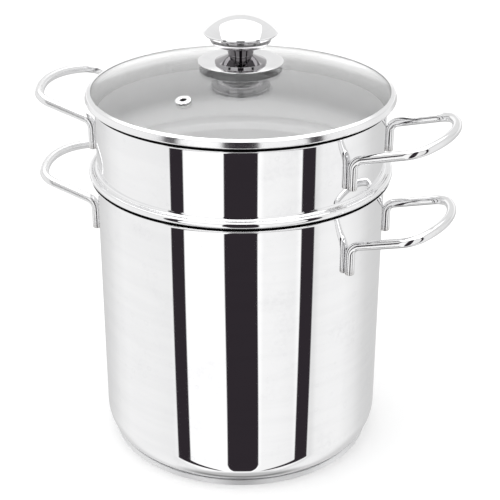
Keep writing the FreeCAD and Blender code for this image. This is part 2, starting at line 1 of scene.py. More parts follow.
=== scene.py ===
"""Looks of the pasta pot: polished steel pot, perforated insert, rod handles and domed glass lid.

Sizes are in millimetres, as in the part's source, and turn into metres where a mesh is made.
Each thin wall is one bent sheet in section that is carried round the axis. Each handle is a
round rod carried along its bent centre line. Every surface comes with its exact normals, so
that polished steel mirrors the studio without ripples.
"""
import logging
import math
from dataclasses import dataclass, replace
from enum import Enum

import bpy
import numpy as np
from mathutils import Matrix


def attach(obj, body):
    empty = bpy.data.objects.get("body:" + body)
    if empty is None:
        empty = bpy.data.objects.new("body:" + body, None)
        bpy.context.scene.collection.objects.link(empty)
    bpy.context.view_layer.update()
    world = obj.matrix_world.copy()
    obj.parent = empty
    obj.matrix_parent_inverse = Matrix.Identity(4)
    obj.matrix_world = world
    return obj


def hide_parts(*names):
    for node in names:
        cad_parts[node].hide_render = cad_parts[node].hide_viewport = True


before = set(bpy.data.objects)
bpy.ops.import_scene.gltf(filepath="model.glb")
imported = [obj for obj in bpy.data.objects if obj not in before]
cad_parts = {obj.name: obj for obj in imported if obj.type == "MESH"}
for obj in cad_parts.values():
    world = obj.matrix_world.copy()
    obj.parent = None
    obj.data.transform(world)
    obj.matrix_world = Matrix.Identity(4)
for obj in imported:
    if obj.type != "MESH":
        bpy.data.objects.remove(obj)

LOG = logging.getLogger("pasta_pot")
MM = 0.001
BODY = "root"
UPWARD = 90.0
HALF_TURN = 180.0
FULL_TURN = 360.0
BEND_STEP = 5.0
EDGE_STEPS = 6

Array = np.ndarray
Material = bpy.types.Material
Thing = bpy.types.Object
Wire = bpy.types.NodeSocket
Value = float | tuple | Wire
Colour = tuple[float, float, float]
Pair = tuple[float, float]


class EdgeCut(Enum):
    """How the free edge of a sheet is finished."""

    ROUND = "rounded to half the sheet's thickness"
    SQUARE = "cut square"
    NONE = "no free edge, because the sheet ends on the axis"


class Face(Enum):
    """Which finish a face of a piece takes, by its place in the piece's list."""

    OUTER = 0
    INNER = 1


def cos_of(degrees: float) -> float:
    """Cosine of an angle in degrees."""
    return math.cos(math.radians(degrees))


def sin_of(degrees: float) -> float:
    """Sine of an angle in degrees."""
    return math.sin(math.radians(degrees))


def spin_matrix(angle: float) -> Array:
    """Matrix that turns rows of x and y by an angle in radians, where they are multiplied by it."""
    return np.array([[math.cos(angle), math.sin(angle)], [-math.sin(angle), math.cos(angle)]])


def unit_along(degrees: Array | float) -> Array:
    """Unit vector of a heading in the section, 0 outward from the axis and 90 up.

    Args:
        degrees: One heading or an array of them.

    Returns:
        Array whose last axis holds the radius and height parts.
    """
    angle = np.radians(degrees)
    return np.stack([np.cos(angle), np.sin(angle)], axis=-1)


def unit_left(degrees: Array | float) -> Array:
    """Unit vector a quarter turn to the left of a heading.

    Args:
        degrees: One heading or an array of them.

    Returns:
        Array whose last axis holds the radius and height parts.
    """
    return unit_along(np.asarray(degrees) + UPWARD)


@dataclass
class Section:
    """A line in section, as (radius, height) points with the normal at each."""

    points: Array
    normals: Array

    @classmethod
    def level(cls, points: list[Array] | Array, look: Array | tuple[float, float]) -> "Section":
        """Straight line through some points, with one normal for all of them."""
        return cls(np.array(points), np.tile(look, (len(points), 1)))

    def turned(self, segments: int, start: float = 0.0, sweep: float = FULL_TURN) -> tuple[Array, Array]:
        """Carries the section round the axis: (r, z) becomes (r cos t, r sin t, z).

        Args:
            segments: Steps round the axis.
            start: First angle t in degrees.
            sweep: How far round it goes, in degrees.

        Returns:
            Grids of points and of normals, one row for each point of the section.
        """
        angle = np.radians(start + sweep * np.arange(segments + 1) / segments)
        points, normals = (
            np.stack([pair[:, :1] * np.cos(angle), pair[:, :1] * np.sin(angle),
                      np.broadcast_to(pair[:, 1:], (len(pair), segments + 1))], axis=-1)
            for pair in (self.points, self.normals))
        return points, normals


class BentSheet:
    """A sheet in section: straight runs and the bends between them, drawn along one face.

    The sheet lies to the left of its drawn face, and a bend to the left is positive.
    """

    def __init__(self, radius: float, height: float, heading: float, thickness: float) -> None:
        """Starts the drawn face.

        Args:
            radius: Radius of its first point.
            height: Height of its first point.
            heading: Direction in degrees, 0 outward and 90 up.
            thickness: Thickness of the sheet.
        """
        self.start = (radius, height, heading)
        self.radius, self.height, self.heading = self.start
        self.thickness = thickness
        self.steps: list[tuple[float, float]] = []

    def run(self, length: float) -> "BentSheet":
        """Goes straight on.

        Args:
            length: How far.

        Returns:
            The same sheet, so that steps can follow each other.
        """
        self.steps.append((length, 0.0))
        self.radius += length * cos_of(self.heading)
        self.height += length * sin_of(self.heading)
        return self

    def run_to_radius(self, radius: float) -> "BentSheet":
        """Goes straight on as far as a radius."""
        return self.run((radius - self.radius) / cos_of(self.heading))

    def run_to_height(self, height: float) -> "BentSheet":
        """Goes straight on as far as a height."""
        return self.run((height - self.height) / sin_of(self.heading))

    def bend(self, bend_radius: float, turn: float) -> "BentSheet":
        """Bends the sheet.

        Args:
            bend_radius: Radius of the bend, taken at the drawn face.
            turn: Angle of the bend in degrees.

        Returns:
            The same sheet, so that steps can follow each other.
        """
        self.steps.append((bend_radius, turn))
        side = math.copysign(bend_radius, turn)
        moved = side * (unit_left(self.heading) - unit_left(self.heading + turn))
        self.radius, self.height = self.radius + moved[0], self.height + moved[1]
        self.heading += turn
        return self

    def face(self, offset: float = 0.0, outward: int = -1, first: int = 0,
             last: int | None = None) -> Section:
        """Samples the face that lies an offset to the left of the drawn one.

        A bend of radius b from heading h is p + b (left(h) - left(h + t)), with t swept in
        even steps. The offset shortens the radius of a left bend.

        Args:
            offset: Distance from the drawn face.
            outward: -1 where the surface looks right of the heading, 1 where it looks left.
            first: First step that is wanted.
            last: Step before which it stops, or None for the end.

        Returns:
            The face as a section.
        """
        radius, height, heading = self.start
        point = np.array([radius, height]) + offset * unit_left(heading)
        pieces, looks = [], []
        for number, (size, turn) in enumerate(self.steps[:last]):
            if turn:
                count = max(3, round(abs(turn) / BEND_STEP))
                headings = heading + turn * np.arange(count + 1) / count
                reach = math.copysign(size, turn) - offset
                line = point + reach * (unit_left(heading) - unit_left(headings))
            else:
                headings = np.full(2, heading)
                line = point + size * unit_along(heading) * np.array([[0.0], [1.0]])
            if number >= first:
                pieces.append(line)
                looks.append(outward * unit_left(headings))
            point = line[-1]
            heading += turn
        return Section(np.concatenate(pieces), np.concatenate(looks))

    def edge(self, at_end: bool, cut: EdgeCut) -> Section:
        """Closes a free edge, from the drawn face round to the other.

        A round edge is c + (t/2)(right cos a + forward sin a), with a from 0 to 180 degrees.

        Args:
            at_end: True for the last edge, False for the first.
            cut: How the edge is finished.

        Returns:
            The edge as a section.
        """
        heading = self.heading if at_end else self.start[2]
        base = np.array([self.radius, self.height]) if at_end else np.array(self.start[:2])
        half = self.thickness / 2
        centre = base + half * unit_left(heading)
        ahead = unit_along(heading) * (1 if at_end else -1)
        count = EDGE_STEPS if cut is EdgeCut.ROUND else 1
        angle = np.radians(np.linspace(0.0, HALF_TURN, count + 1))[:, None]
        side = -unit_left(heading) * np.cos(angle)
        if cut is EdgeCut.ROUND:
            looks = side + ahead * np.sin(angle)
            return Section(centre + half * looks, looks)
        return Section(centre + half * side, np.broadcast_to(ahead, side.shape))


def soft_outline(corners: list[tuple[float, float]], softness: float, steps: int = 4) -> Section:
    """Closed outline with its corners rounded, for a turned or moulded piece.

    A corner's arc is c + s n(a), where a goes from one edge's normal to the next one's and s
    is the softness, with its sign turned at a hollow corner. Corners on the axis stay sharp.

    Args:
        corners: (radius, height) points, counter-clockwise.
        softness: Radius of the rounding.
        steps: Steps in each arc.

    Returns:
        The outline as a section, whose last point repeats the first.
    """
    here = np.array(corners, float)
    before = here - np.roll(here, 1, axis=0)
    after = np.roll(here, -1, axis=0) - here
    before /= np.linalg.norm(before, axis=1, keepdims=True)
    after /= np.linalg.norm(after, axis=1, keepdims=True)
    start = np.arctan2(-before[:, 0], before[:, 1])
    turn = np.arctan2(before[:, 0] * after[:, 1] - before[:, 1] * after[:, 0], (before * after).sum(axis=1))
    rounding = np.where(here[:, 0] > 0, softness, 0.0)
    trim = rounding * np.tan(np.abs(turn) / 2)
    signed = (np.sign(turn) * rounding)[:, None, None]
    angle = start[:, None] + turn[:, None] * np.linspace(0.0, 1.0, steps + 1)
    looks = np.stack([np.cos(angle), np.sin(angle)], axis=-1)
    first = here - before * trim[:, None]
    points = (first[:, None] + signed * (looks - looks[:, :1])).reshape(-1, 2)
    looks = looks.reshape(-1, 2)
    return Section(np.vstack([points, points[:1]]), np.vstack([looks, looks[:1]]))


def cell_outline(columns: int, rows: int) -> Array:
    """Places on the outline of a cell round a hole, as shares from -1 to 1 across and up.

    Args:
        columns: Steps across the cell.
        rows: Steps up it.

    Returns:
        Points in order round the cell, the last one repeating the first.
    """
    across, up = np.linspace(-1, 1, columns + 1), np.linspace(-1, 1, rows + 1)
    side, end = np.ones(columns), np.ones(rows)
    return np.concatenate([
        np.stack([across[:-1], -side], axis=-1), np.stack([end, up[:-1]], axis=-1),
        np.stack([across[:0:-1], side], axis=-1), np.stack([-end, up[:0:-1]], axis=-1), [[-1.0, -1.0]]])


def fill_cell(outline: Array, hole: Array, rings: int) -> Array:
    """Grid from a cell's outline to its hole: p = outline (1 - s) + hole s.

    Args:
        outline: Points on the outline, relative to the hole's centre.
        hole: The point of the hole's edge in the same direction from the centre.
        rings: Steps between them.

    Returns:
        Grid of points, the outline first and the hole last.
    """
    share = (np.arange(rings + 1) / rings)[:, None, None]
    return outline * (1 - share) + hole * share


class PieceMesh:
    """Collects grids of points for one piece and welds them into one closed mesh.

    Points are welded where they round to the same step. The shift keeps the round sizes that
    the part is full of away from the edges between two steps.
    """

    WELD_MM = 0.001
    WELD_SHIFT = 0.1234
    LEAST_CORNERS = 3

    def __init__(self, name: str) -> None:
        """Starts a piece.

        Args:
            name: Name of the finished object.
        """
        self.name = name
        self.points: list[Array] = []
        self.quads: list[Array] = []
        self.looks: list[Array] = []
        self.faces: list[Array] = []
        self.runs: list[Array] = []

    def add(self, points: Array, normals: Array, face: Face = Face.OUTER, run: Array | None = None) -> None:
        """Adds a grid of quads and turns it so that it faces along its normals.

        Args:
            points: Grid of points, rows by columns by three.
            normals: Grid of normals, of the same shape.
            face: Which finish the grid takes.
            run: Place along and round a rod at each point, where a finish follows it.
        """
        rows, columns = points.shape[:2]
        index = np.arange(rows * columns).reshape(rows, columns)
        quads = np.stack([index[:-1, :-1], index[1:, :-1], index[1:, 1:], index[:-1, 1:]], axis=-1)
        quads = quads.reshape(-1, 4)
        flat, looks = points.reshape(-1, 3), normals.reshape(-1, 3)
        corner = flat[quads]
        across = np.cross(corner[:, 2] - corner[:, 0], corner[:, 3] - corner[:, 1])
        if (across * looks[quads].sum(axis=1)).sum() < 0:
            quads = quads[:, ::-1]
        self.quads.append(quads + sum(len(part) for part in self.points))
        self.looks.append(looks[quads])
        self.points.append(flat)
        self.faces.append(np.full(len(quads), face.value))
        self.runs.append(np.zeros_like(flat) if run is None else run.reshape(-1, 3))

    def revolve(self, section: Section, segments: int, face: Face = Face.OUTER,
                start: float = 0.0, sweep: float = FULL_TURN) -> "PieceMesh":
        """Adds a section carried round the axis.

        Args:
            section: The line to carry.
            segments: Steps round the axis.
            face: Which finish it takes.
            start: First angle in degrees.
            sweep: How far round it goes, in degrees.

        Returns:
            The same piece.
        """
        self.add(*section.turned(segments, start, sweep), face)
        return self

    def revolve_sheet(self, sheet: BentSheet, segments: int, first: EdgeCut, last: EdgeCut) -> "PieceMesh":
        """Adds both faces of a bent sheet and its free edges.

        Args:
            sheet: The sheet in section.
            segments: Steps round the axis.
            first: How its first edge is finished.
            last: How its last edge is finished.

        Returns:
            The same piece.
        """
        self.revolve(sheet.face(), segments)
        self.revolve(sheet.face(sheet.thickness, outward=1), segments, Face.INNER)
        for at_end, cut in ((False, first), (True, last)):
            if cut is not EdgeCut.NONE:
                self.revolve(sheet.edge(at_end, cut), segments)
        return self

    def made(self) -> Thing:
        """Welds the grids and puts them into a Blender mesh with their exact normals.

        Points nearer than a micrometre become one, so seams and poles close, and a quad that
        loses a corner at a pole becomes a triangle.

        Returns:
            The object, at the origin, with its place in its mesh.
        """
        points = np.concatenate(self.points)
        keys = np.round(points / self.WELD_MM + self.WELD_SHIFT)
        _, kept, merged = np.unique(keys, axis=0, return_index=True, return_inverse=True)
        quads = merged.reshape(-1)[np.concatenate(self.quads)]
        wanted = quads != np.roll(quads, 1, axis=1)
        whole = wanted.sum(axis=1) >= self.LEAST_CORNERS
        quads, wanted = quads[whole], wanted[whole]
        sizes = wanted.sum(axis=1)
        mesh = bpy.data.meshes.new(self.name)
        mesh.vertices.add(len(kept))
        mesh.vertices.foreach_set("co", (points[kept] * MM).astype(np.float32).ravel())
        mesh.loops.add(int(sizes.sum()))
        mesh.loops.foreach_set("vertex_index", quads[wanted].astype(np.int32))
        mesh.polygons.add(len(quads))
        for title, values in (("loop_start", np.cumsum(sizes) - sizes), ("loop_total", sizes),
                              ("material_index", np.concatenate(self.faces)[whole])):
            mesh.polygons.foreach_set(title, values.astype(np.int32))
        mesh.polygons.foreach_set("use_smooth", np.ones(len(quads), bool))
        run = mesh.attributes.new("rod_run", "FLOAT_VECTOR", "POINT")
        runs = np.concatenate(self.runs)[kept] * MM
        run.data.foreach_set("vector", runs.astype(np.float32).ravel())
        mesh.update(calc_edges=True)
        looks = np.concatenate(self.looks)[whole][wanted]
        looks /= np.linalg.norm(looks, axis=1, keepdims=True)
        mesh.normals_split_custom_set(looks.tolist())
        made = bpy.data.objects.new(self.name, mesh)
        bpy.context.scene.collection.objects.link(made)
        return made

    def finish(self, node: str, slot: str, *finishes: Material) -> None:
        """Makes the piece, dresses it, hides the node it stands for and lets it ride on the body.

        Args:
            node: The node.
            slot: Name of a slot; not used.
            *finishes: Its materials, in the order of Face.
        """
        piece = self.made()
        for finish in finishes:
            piece.data.materials.append(finish)
        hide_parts(node)
        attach(piece, BODY)
        LOG.info("%s: %d faces", piece.name, len(piece.data.polygons))


class Graph:
    """Adds nodes to a tree and wires each one as it is made."""

    def __init__(self, tree: bpy.types.NodeTree) -> None:
        """Takes a tree.

        Args:
            tree: A material's, a world's or a group's node tree.
        """
        self.tree = tree

    def feed(self, socket: Wire, value: Value) -> None:
        """Fills an input: it is wired to another node's output, or set to a plain value.

        Args:
            socket: The input.
            value: What goes in.
        """
        if isinstance(value, Wire):
            self.tree.links.new(value, socket)
        else:
            socket.default_value = value

    def node(self, kind: str, feeds: dict[str | int, Value] | None = None,
             **settings: object) -> bpy.types.Node:
        """Adds one node.

        Args:
            kind: Blender's name of the node type.
            feeds: What goes into each input, a value or another node's output.
            **settings: Properties of the node.

        Returns:
            The node.
        """
        made = self.tree.nodes.new(kind)
        for name, setting in settings.items():
            setattr(made, name, setting)
        for name, value in (feeds or {}).items():
            self.feed(made.inputs[name], value)
        return made

    def calc(self, operation: str, *feeds: Value) -> Wire:
        """Adds a Math node and gives its result."""
        return self.node("ShaderNodeMath", dict(enumerate(feeds)), operation=operation).outputs[0]

    def times(self, first: Value, second: Value) -> Wire:
        """Multiplies two values."""
        return self.calc("MULTIPLY", first, second)

    def parts(self, vector: Value) -> bpy.types.NodeOutputs:
        """Takes a vector apart into x, y and z."""
        return self.node("ShaderNodeSeparateXYZ", {0: vector}).outputs

    def length(self, first: Value, second: Value) -> Wire:
        """Length of a flat vector with these two parts."""
        return self.calc("SQRT", self.calc("MULTIPLY_ADD", first, first, self.times(second, second)))

    def blend(self, share: Wire, first: Value, last: Value) -> Wire:
        """Goes from one value to another by a share from 0 to 1."""
        feeds = {"Value": share, "To Min": first, "To Max": last}
        return self.node("ShaderNodeMapRange", feeds).outputs["Result"]

    def ramp(self, value: Value, low: float, high: float, first: Value = 0.0, last: Value = 1.0) -> Wire:
        """Takes a value from low..high smoothly to first..last.

        Args:
            value: What goes in.
            low: Value that gives the first result.
            high: Value that gives the last result.
            first: First result.
            last: Last result.

        Returns:
            The result.
        """
        feeds = {"Value": value, "From Min": low, "From Max": high, "To Min": first, "To Max": last}
        return self.node("ShaderNodeMapRange", feeds, interpolation_type="SMOOTHSTEP").outputs["Result"]

    def mixed(self, share: Value, first: Value, second: Value) -> Wire:
        """Mixes two colours by a share, with a Mix node's sockets for colours.

        Args:
            share: How much of the second one is wanted.
            first: Colour at 0.
            second: Colour at 1.

        Returns:
            The mixed colour.
        """
        factor, colour_a, colour_b, result = 0, 6, 7, 2
        feeds = {factor: share, colour_a: first, colour_b: second}
        return self.node("ShaderNodeMix", data_type="RGBA", feeds=feeds).outputs[result]

    def noise(self, place: Value, scale: Value, detail: float = 2.0, depth: Value | None = None) -> Wire:
        """Adds a Noise Texture, in four dimensions where a depth is given.

        Args:
            place: Where it is read.
            scale: Its scale.
            detail: Its octaves.
            depth: The fourth coordinate, or None.

        Returns:
            Its value, from 0 to 1.
        """
        feeds = {"Vector": place, "Scale": scale, "Detail": detail}
        if depth is None:
            return self.node("ShaderNodeTexNoise", feeds).outputs["Fac"]
        return self.node("ShaderNodeTexNoise", feeds | {"W": depth}, noise_dimensions="4D").outputs["Fac"]


class EffectGroup:
    """A shader node group with named inputs and outputs, shared by several materials."""

    def __init__(self, name: str, inputs: dict[str, float | None], outputs: tuple[str, ...]) -> None:
        """Makes the empty group.

        Args:
            name: Name of the group.
            inputs: Each input's default, or None for a vector.
            outputs: Names of the value outputs.
        """
        self.tree = bpy.data.node_groups.new(name, "ShaderNodeTree")
        for title, default in inputs.items():
            kind = "NodeSocketVector" if default is None else "NodeSocketFloat"
            socket = self.tree.interface.new_socket(name=title, in_out="INPUT", socket_type=kind)
            if default is not None:
                socket.default_value = default
        for title in outputs:
            self.tree.interface.new_socket(name=title, in_out="OUTPUT", socket_type="NodeSocketFloat")
        self.graph = Graph(self.tree)
        self.entry = self.tree.nodes.new("NodeGroupInput").outputs
        self.exit = self.tree.nodes.new("NodeGroupOutput").inputs

    def give(self, title: str, wire: Wire) -> None:
        """Wires a result to an output."""
        self.tree.links.new(wire, self.exit[title])

    def placed(self, graph: Graph, feeds: dict[str | int, Value]) -> bpy.types.NodeOutputs:
        """Places the group in a material.

        Args:
            graph: The material's graph.
            feeds: What goes into each input.

        Returns:
            The outputs of the placed group.
        """
        return graph.node("ShaderNodeGroup", feeds, node_tree=self.tree).outputs


class Effects:
    """The effects that the finishes share, each built once.

    Lengths are in metres. The streaks of the rings are coarser than the rings by a share, and
    the lines along a rod are longer than they are wide by another. A pair holds the values of
    a pattern between which its mask rises.
    """

    LEAST_RADIUS = 0.0005
    STREAK_WIDTH = 0.12
    STREAKS = (0.35, 0.7)
    LINE_WIDTH = 0.04
    BROAD_SMEARS = (0.48, 0.72)
    FINE_SMEARS = (0.2, 0.8)
    SMEAR_FINENESS = 9.0
    DROP_RIM = 0.17
    DROP_SOFTNESS = 0.07
    RARENESS = 0.4
    RARE_DROPS = (0.56, 0.62)
    SEAM_SHADE_EDGE = (-0.00015, 0.00025)

    def __init__(self) -> None:
        """Builds every group."""
        self.turning = self.build_turning()
        self.handling = self.build_handling()
        self.drawing = self.build_drawing()
        # painted shade for the shadowed seams under the rims
        self.seam = self.build_seam_shade()

    def build_turning(self) -> EffectGroup:
        """Fine rings left by turning or polishing about the axis.

        Noise is read at (cos t, sin t, lines r, lines z), so that it runs far along each ring
        and changes fast across the rings, without a seam.

        Returns:
            The group.
        """
        inputs = {"Place": None, "Lines": 900.0, "Sweep": 1.5}
        group = EffectGroup("turning_rings", inputs, ("Height", "Streak"))
        graph, entry = group.graph, group.entry
        apart = graph.parts(entry["Place"])
        radius = graph.calc("MAXIMUM", graph.length(apart[0], apart[1]), self.LEAST_RADIUS)
        share = graph.calc("DIVIDE", entry["Sweep"], radius)
        ring = graph.node("ShaderNodeCombineXYZ", {
            0: graph.times(apart[0], share), 1: graph.times(apart[1], share),
            2: graph.times(radius, entry["Lines"])}).outputs[0]
        depth = graph.times(apart[2], entry["Lines"])
        group.give("Height", graph.noise(ring, 1.0, 3.0, depth))
        coarse = graph.node("ShaderNodeVectorMath", {0: ring, 1: (1.0, 1.0, self.STREAK_WIDTH)},
                            operation="MULTIPLY").outputs[0]
        streak = graph.noise(coarse, 1.0, 2.0, graph.times(depth, self.STREAK_WIDTH))
        group.give("Streak", graph.ramp(streak, *self.STREAKS))
        return group

    def build_handling(self) -> EffectGroup:
        """Faint smears and dried water drops from use.

        Smears are a broad noise cut by a finer one; a drop is a ring at a set distance from
        the scattered points of a Voronoi pattern.

        Returns:
            The group.
        """
        inputs = {"Place": None, "Size": 30.0, "Drops": 90.0}
        group = EffectGroup("handling_marks", inputs, ("Smear", "Drop"))
        graph, entry = group.graph, group.entry
        place = entry["Place"]
        broad = graph.ramp(graph.noise(place, entry["Size"], 3.0), *self.BROAD_SMEARS)
        fine = graph.noise(place, graph.times(entry["Size"], self.SMEAR_FINENESS), 2.0)
        group.give("Smear", graph.times(broad, graph.ramp(fine, *self.FINE_SMEARS)))
        spots = graph.node("ShaderNodeTexVoronoi", {"Vector": place, "Scale": entry["Drops"]})
        distance = spots.outputs["Distance"]
        rim = graph.times(
            graph.ramp(distance, self.DROP_RIM - self.DROP_SOFTNESS, self.DROP_RIM),
            graph.ramp(distance, self.DROP_RIM, self.DROP_RIM + self.DROP_SOFTNESS, 1.0, 0.0))
        rare = graph.noise(place, graph.times(entry["Drops"], self.RARENESS), 0.0)
        group.give("Drop", graph.times(rim, graph.ramp(rare, *self.RARE_DROPS)))
        return group

    def build_seam_shade(self) -> EffectGroup:
        """Mask of painted shade in the seam under a rim, where the gap lies in shadow.

        The mask is 1 between two heights and nearer the axis than a radius.

        Returns:
            The group.
        """
        inputs = {"Place": None, "Radius": 1.0, "Low": 0.0, "High": 0.0}
        group = EffectGroup("painted_seam_shade", inputs, ("Mask",))
        graph, entry = group.graph, group.entry
        apart = graph.parts(entry["Place"])
        inside = graph.calc("SUBTRACT", entry["Radius"], graph.length(apart[0], apart[1]))
        above = graph.calc("SUBTRACT", apart[2], entry["Low"])
        below = graph.calc("SUBTRACT", entry["High"], apart[2])
        nearest = graph.calc("MINIMUM", inside, graph.calc("MINIMUM", above, below))
        group.give("Mask", graph.ramp(nearest, *self.SEAM_SHADE_EDGE))
        return group

    def build_drawing(self) -> EffectGroup:
        """Lines that drawing leaves along a rod, and a mask at its ends.

        The run attribute holds (rod radius cos p, rod radius sin p, length along), so noise
        that is squeezed along its third part runs down the rod without a seam.

        Returns:
            The group.
        """
        inputs = {"Run": None, "Lines": 700.0, "Reach": 0.02}
        group = EffectGroup("drawn_rod", inputs, ("Height", "Foot"))
        graph, entry = group.graph, group.entry
        apart = graph.parts(entry["Run"])
        across = [graph.times(apart[axis], entry["Lines"]) for axis in (0, 1)]
        along = graph.times(apart[2], graph.times(entry["Lines"], self.LINE_WIDTH))
        place = graph.node("ShaderNodeCombineXYZ", {0: across[0], 1: across[1], 2: along}).outputs[0]
        group.give("Height", graph.noise(place, 1.0, 2.0))
        end = graph.calc("DIVIDE", apart[2], entry["Reach"])
        group.give("Foot", graph.ramp(end, 0.0, 1.0, 1.0, 0.0))
        return group


def opaque(colour: Colour) -> tuple[float, float, float, float]:
    """Gives a colour its fourth part."""
    return (*colour, 1.0)


class Surface:
    """A material with one Principled shader, and what the finishes do to it alike."""

    def __init__(self, name: str) -> None:
        """Makes the material.

        Args:
            name: Name of the material.
        """
        self.material = bpy.data.materials.new(name)
        self.material.use_nodes = True
        self.material.node_tree.nodes.clear()
        self.graph = Graph(self.material.node_tree)
        self.shader = self.graph.node("ShaderNodeBsdfPrincipled")
        self.graph.node("ShaderNodeOutputMaterial", {"Surface": self.shader.outputs[0]})
        self.place = self.graph.node("ShaderNodeTexCoord").outputs["Object"]

    def put(self, **inputs: Value) -> None:
        """Sets or wires inputs of the shader, with _ for each space in their names."""
        for name, value in inputs.items():
            self.graph.feed(self.shader.inputs[name.replace("_", " ")], value)

    def shade(self, share: Wire, colours: tuple[Colour, Colour], roughness: tuple[float, float]) -> None:
        """Takes colour and roughness from a first look to a second one.

        Args:
            share: Mask, 0 at the first look and 1 at the second.
            colours: Both colours.
            roughness: Both roughnesses.
        """
        self.put(Base_Color=self.graph.mixed(share, *map(opaque, colours)),
                 Roughness=self.graph.ramp(share, 0.0, 1.0, *roughness))

    def raise_by(self, height: Wire) -> None:
        """Bumps the surface by a height in metres."""
        bump = self.graph.node("ShaderNodeBump", {"Height": height, "Strength": 1.0, "Distance": 1.0})
        self.put(Normal=bump.outputs[0])


@dataclass(frozen=True)
class SteelFinish:
    """Stainless steel, from mirror polish to satin, with rings, smears and dried drops.

    Depths are in metres. The seam is the radius, the lower and the upper height in millimetres
    between which shade is painted, near black and rougher, in the shadowed gap under a rim.
    """

    name: str
    colour: Colour
    dull_colour: Colour
    roughness: float
    dull_roughness: float
    lines: float
    line_sweep: float
    line_depth: float
    wave_depth: float = 0.0
    wave_scale: float = 22.0
    drops: float = 0.5
    streak_share: float = 0.35
    wear_share: float = 0.65
    seam: tuple[float, float, float] | None = None
    seam_shade: Colour = (0.035, 0.033, 0.035)
    seam_shade_roughness: float = 0.6

    def material(self, effects: Effects) -> Material:
        """Builds the finish.

        Args:
            effects: The shared groups.

        Returns:
            The material.
        """
        surface = Surface(self.name)
        graph, place = surface.graph, surface.place
        rings = effects.turning.placed(graph, {"Place": place, "Lines": self.lines, "Sweep": self.line_sweep})
        marks = effects.handling.placed(graph, {"Place": place})
        wear = graph.calc("MULTIPLY_ADD", marks["Drop"], self.drops, marks["Smear"])
        worn = graph.calc("MULTIPLY_ADD", rings["Streak"], self.streak_share,
                          graph.times(wear, self.wear_share))
        colour = graph.mixed(worn, opaque(self.colour), opaque(self.dull_colour))
        rough = graph.ramp(worn, 0.0, 1.0, self.roughness, self.dull_roughness)
        # a seam paints shade: near black and rougher in the shadowed gap under a rim
        if self.seam:
            radius, low, high = (part * MM for part in self.seam)
            seam = {"Place": place, "Radius": radius, "Low": low, "High": high}
            seam_shade = effects.seam.placed(graph, seam)["Mask"]
            colour = graph.mixed(seam_shade, colour, opaque(self.seam_shade))
            rough = graph.calc("MAXIMUM", rough, graph.times(seam_shade, self.seam_shade_roughness))
        surface.put(Metallic=1.0, Base_Color=colour, Roughness=rough)
        wave = graph.noise(place, self.wave_scale, 0.0)
        rings_height = graph.times(rings["Height"], self.line_depth)
        surface.raise_by(graph.calc("MULTIPLY_ADD", wave, self.wave_depth, rings_height))
        return surface.material


@dataclass(frozen=True)
class RodFinish:
    """Polished rod, with drawn lines along it and a dulled foot where it is welded."""

    name: str = "polished_rod"
    colour: Colour = (0.86, 0.86, 0.865)
    weld_colour: Colour = (0.60, 0.58, 0.56)
    roughness: float = 0.08
    weld_roughness: float = 0.30
    weld_reach: float = 0.006
    weld_share: float = 0.5
    smear_share: float = 0.25
    line_depth: float = 1.2e-6
    smear_scale: float = 60.0
    drop_scale: float = 160.0

    def material(self, effects: Effects) -> Material:
        """Builds the finish.

        Args:
            effects: The shared groups.

        Returns:
            The material.
        """
        surface = Surface(self.name)
        graph = surface.graph
        run = graph.node("ShaderNodeAttribute", attribute_name="rod_run").outputs["Vector"]
        drawn = effects.drawing.placed(graph, {"Run": run, "Reach": self.weld_reach})
        feeds = {"Place": surface.place, "Size": self.smear_scale, "Drops": self.drop_scale}
        marks = effects.handling.placed(graph, feeds)
        dulled = graph.calc("MAXIMUM", graph.times(drawn["Foot"], self.weld_share),
                            graph.times(marks["Smear"], self.smear_share))
        surface.put(Metallic=1.0)
        surface.shade(dulled, (self.colour, self.weld_colour), (self.roughness, self.weld_roughness))
        surface.raise_by(graph.times(drawn["Height"], self.line_depth))
        return surface.material


@dataclass(frozen=True)
class GlassFinish:
    """Clear tempered glass with the faintest smears."""

    name: str = "tempered_glass"
    colour: Colour = (0.985, 0.988, 0.987)
    smear_darkening: float = 0.985
    roughness: float = 0.0
    smear_roughness: float = 0.03
    index: float = 1.5
    coat: float = 1.0
    coat_index: float = 1.7
    smear_scale: float = 24.0
    drop_scale: float = 70.0

    def material(self, effects: Effects) -> Material:
        """Builds the finish.

        Args:
            effects: The shared groups.

        Returns:
            The material.
        """
        surface = Surface(self.name)
        feeds = {"Place": surface.place, "Size": self.smear_scale, "Drops": self.drop_scale}
        marks = effects.handling.placed(surface.graph, feeds)
        surface.put(Transmission_Weight=1.0, IOR=self.index, Coat_Weight=self.coat, Coat_IOR=self.coat_index,
                    Coat_Roughness=0.0)
        dull = tuple(self.smear_darkening * part for part in self.colour)
        surface.shade(marks["Smear"], (self.colour, dull), (self.roughness, self.smear_roughness))
        return surface.material


@dataclass(frozen=True)
class SiliconeFinish:
    """Soft translucent grey silicone with a matt skin and a little dust."""

    name: str = "grey_silicone"
    colour: Colour = (0.70, 0.70, 0.68)
    dust_colour: Colour = (0.80, 0.79, 0.76)
    roughness: float = 0.45
    dust_roughness: float = 0.65
    depth_of_light: float = 0.002
    translucence: float = 0.25
    grain_scale: float = 2600.0
    grain_depth: float = 8e-6
    smear_scale: float = 160.0
    drop_scale: float = 300.0

    def material(self, effects: Effects) -> Material:
        """Builds the finish.

        Args:
            effects: The shared groups.

        Returns:
            The material.
        """
        surface = Surface(self.name)
        graph, place = surface.graph, surface.place
        feeds = {"Place": place, "Size": self.smear_scale, "Drops": self.drop_scale}
        marks = effects.handling.placed(graph, feeds)
        surface.put(Subsurface_Weight=self.translucence, Subsurface_Radius=(self.depth_of_light,) * 3)
        surface.shade(marks["Smear"], (self.colour, self.dust_colour), (self.roughness, self.dust_roughness))
        surface.raise_by(graph.times(graph.noise(place, self.grain_scale), self.grain_depth))
        return surface.material


